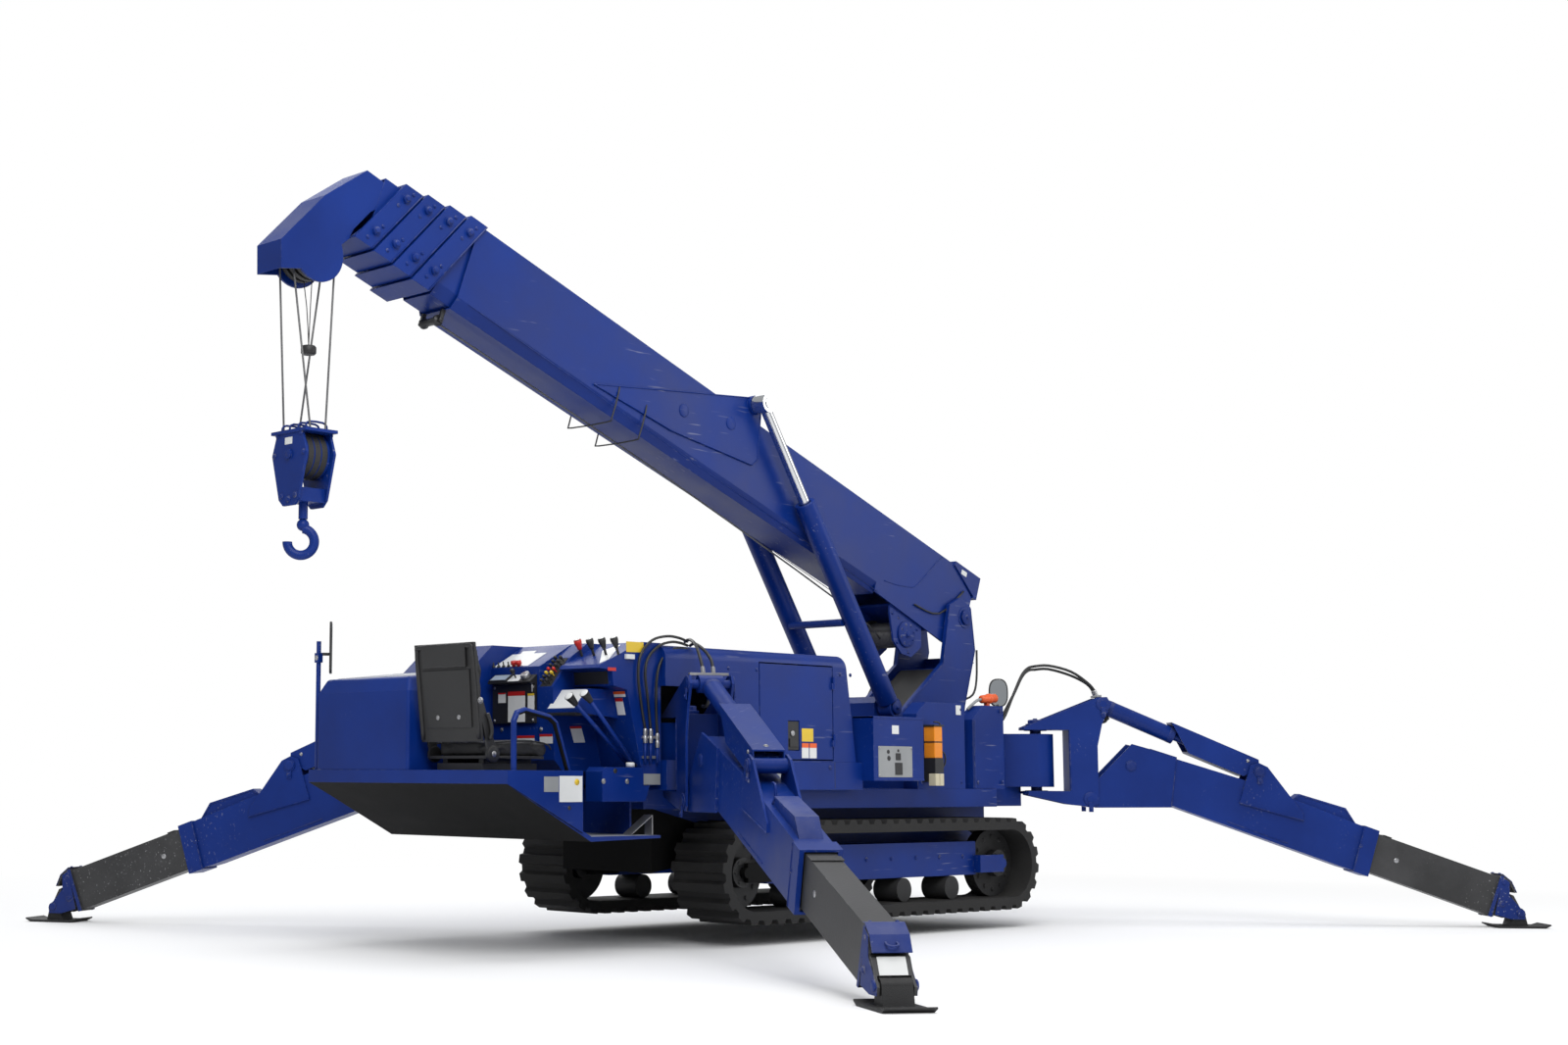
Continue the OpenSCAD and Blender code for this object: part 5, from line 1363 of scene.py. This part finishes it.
def bolt_rows():
    for side, word in ((-1, "Right"), (1, "Left")):
        hub, disc = [], []
        for x in (AXLE_X0, AXLE_X1):
            hub += circle_points(x, side * (TRACK_Y + 0.0745), AXLE_Z, 0.050, 6)
            disc += circle_points(x, side * (TRACK_Y + 0.0295), AXLE_Z, WHEEL_R * 0.78, 12)
        bolt_row(f"HubBolts{word}", "chassis", "iron", hub, (0, side, 0), 0.008)
        bolt_row(f"DiscBolts{word}", "chassis", "iron", disc, (0, side, 0), 0.010)
        beam = [(-0.70 + 0.2 * k, side * (TRACK_Y + 0.0595), 0.375) for k in range(8)]
        bolt_row(f"BeamBolts{word}", "chassis", "blue_worn", beam, (0, side, 0), 0.009)
    bolt_row("TurntableBolts", "column", "iron", circle_points(0.9, 0, 1.060, 0.322, 24, "z"),
            (0, 0, 1), 0.010)


bolt_rows()


# ---------------------------------------------------------------- camera, light, floor

# The camera fitted to the photo's perspective
CAM_AT = Vector((-8.604, -7.308, 0.779))
CAM_FORWARD = Vector((0.66333, 0.73932, 0.11578))
CAM_RIGHT = Vector((0.74387, -0.66830, 0.00573))
CAM_UP = Vector((-0.08161, -0.08233, 0.99326))
SENSOR_MM, LENS_MM = 36, 48.746
SHIFT_X, SHIFT_Y = 0.18219, 0.00364

cam_data = bpy.data.cameras.new("Camera")
cam = bpy.data.objects.new("Camera", cam_data)
bpy.context.scene.collection.objects.link(cam)
cam.matrix_world = Matrix.Translation(CAM_AT) @ Matrix((CAM_RIGHT, CAM_UP,
        -CAM_FORWARD)).transposed().to_4x4()
cam_data.sensor_width = SENSOR_MM
cam_data.lens = LENS_MM
cam_data.shift_x = SHIFT_X
cam_data.shift_y = SHIFT_Y
cam_data.clip_end = 300
bpy.context.scene.camera = cam


def lamp(name, at, toward, size, power, color=(1, 1, 1)):
    d = bpy.data.lights.new(name, "AREA")
    d.shape = "RECTANGLE"
    d.size, d.size_y = size
    d.energy = power
    d.color = color
    o = bpy.data.objects.new(name, d)
    bpy.context.scene.collection.objects.link(o)
    o.location = at
    o.rotation_euler = (Vector(toward) - Vector(at)).to_track_quat("-Z", "Y").to_euler()


# Name, place, aim, size in metres, power in watts
LAMPS = (("Key", (-6, -6, 7.5), (0, 0, 1.0), (6, 6), 640), ("Top", (0, 0, 9), (0, 0, 0), (9, 7), 420),
        ("Fill", (7, -7, 4.5), (0, 0, 1.2), (5, 5), 200), ("Back", (3, 8, 6), (0, 0, 1.2), (7, 5), 300))
for row in LAMPS:
    lamp(*row)

world = bpy.data.worlds.new("World")
bpy.context.scene.world = world
world.use_nodes = True
wt = world.node_tree
wt.nodes.clear()
wo = wt.nodes.new("ShaderNodeOutputWorld")
ambient = wt.nodes.new("ShaderNodeBackground")
ambient.inputs["Color"].default_value = (0.9, 0.92, 0.95, 1)
ambient.inputs["Strength"].default_value = 0.5
shown = wt.nodes.new("ShaderNodeBackground")
shown.inputs["Color"].default_value = (1, 1, 1, 1)
shown.inputs["Strength"].default_value = 1.0
lp = wt.nodes.new("ShaderNodeLightPath")
mx = wt.nodes.new("ShaderNodeMixShader")
link(wt, lp.outputs["Is Camera Ray"], mx.inputs["Fac"])
link(wt, ambient.outputs[0], mx.inputs[1])
link(wt, shown.outputs[0], mx.inputs[2])
link(wt, mx.outputs[0], wo.inputs["Surface"])

floor_me = bpy.data.meshes.new("Floor")
floor_me.from_pydata([(-60, -60, 0), (60, -60, 0), (60, 60, 0), (-60, 60, 0)], [], [(0, 1, 2, 3)])
floor = add_object("Floor", floor_me)
fm = bpy.data.materials.new("FloorPale")
fm.use_nodes = True
fb = fm.node_tree.nodes["Principled BSDF"]
fb.inputs["Base Color"].default_value = (0.86, 0.86, 0.86, 1)
fb.inputs["Roughness"].default_value = 0.9
ft = fm.node_tree
fo = ft.nodes["Material Output"]
glow = ft.nodes.new("ShaderNodeEmission")
glow.inputs["Strength"].default_value = 1.0
ftc = ft.nodes.new("ShaderNodeTexCoord")
far = ft.nodes.new("ShaderNodeVectorMath")
far.operation = "LENGTH"
link(ft, ftc.outputs["Object"], far.inputs[0])
flp = ft.nodes.new("ShaderNodeLightPath")
fade = math_node(ft, "MULTIPLY", ramp(ft, far.outputs["Value"], 3.0, 7.5), flp.outputs["Is Camera Ray"])
fx = ft.nodes.new("ShaderNodeMixShader")
link(ft, fade, fx.inputs["Fac"])
link(ft, fb.outputs[0], fx.inputs[1])
link(ft, glow.outputs[0], fx.inputs[2])
link(ft, fx.outputs[0], fo.inputs["Surface"])
floor_me.materials.append(fm)

bpy.context.scene.view_settings.view_transform = "Standard"
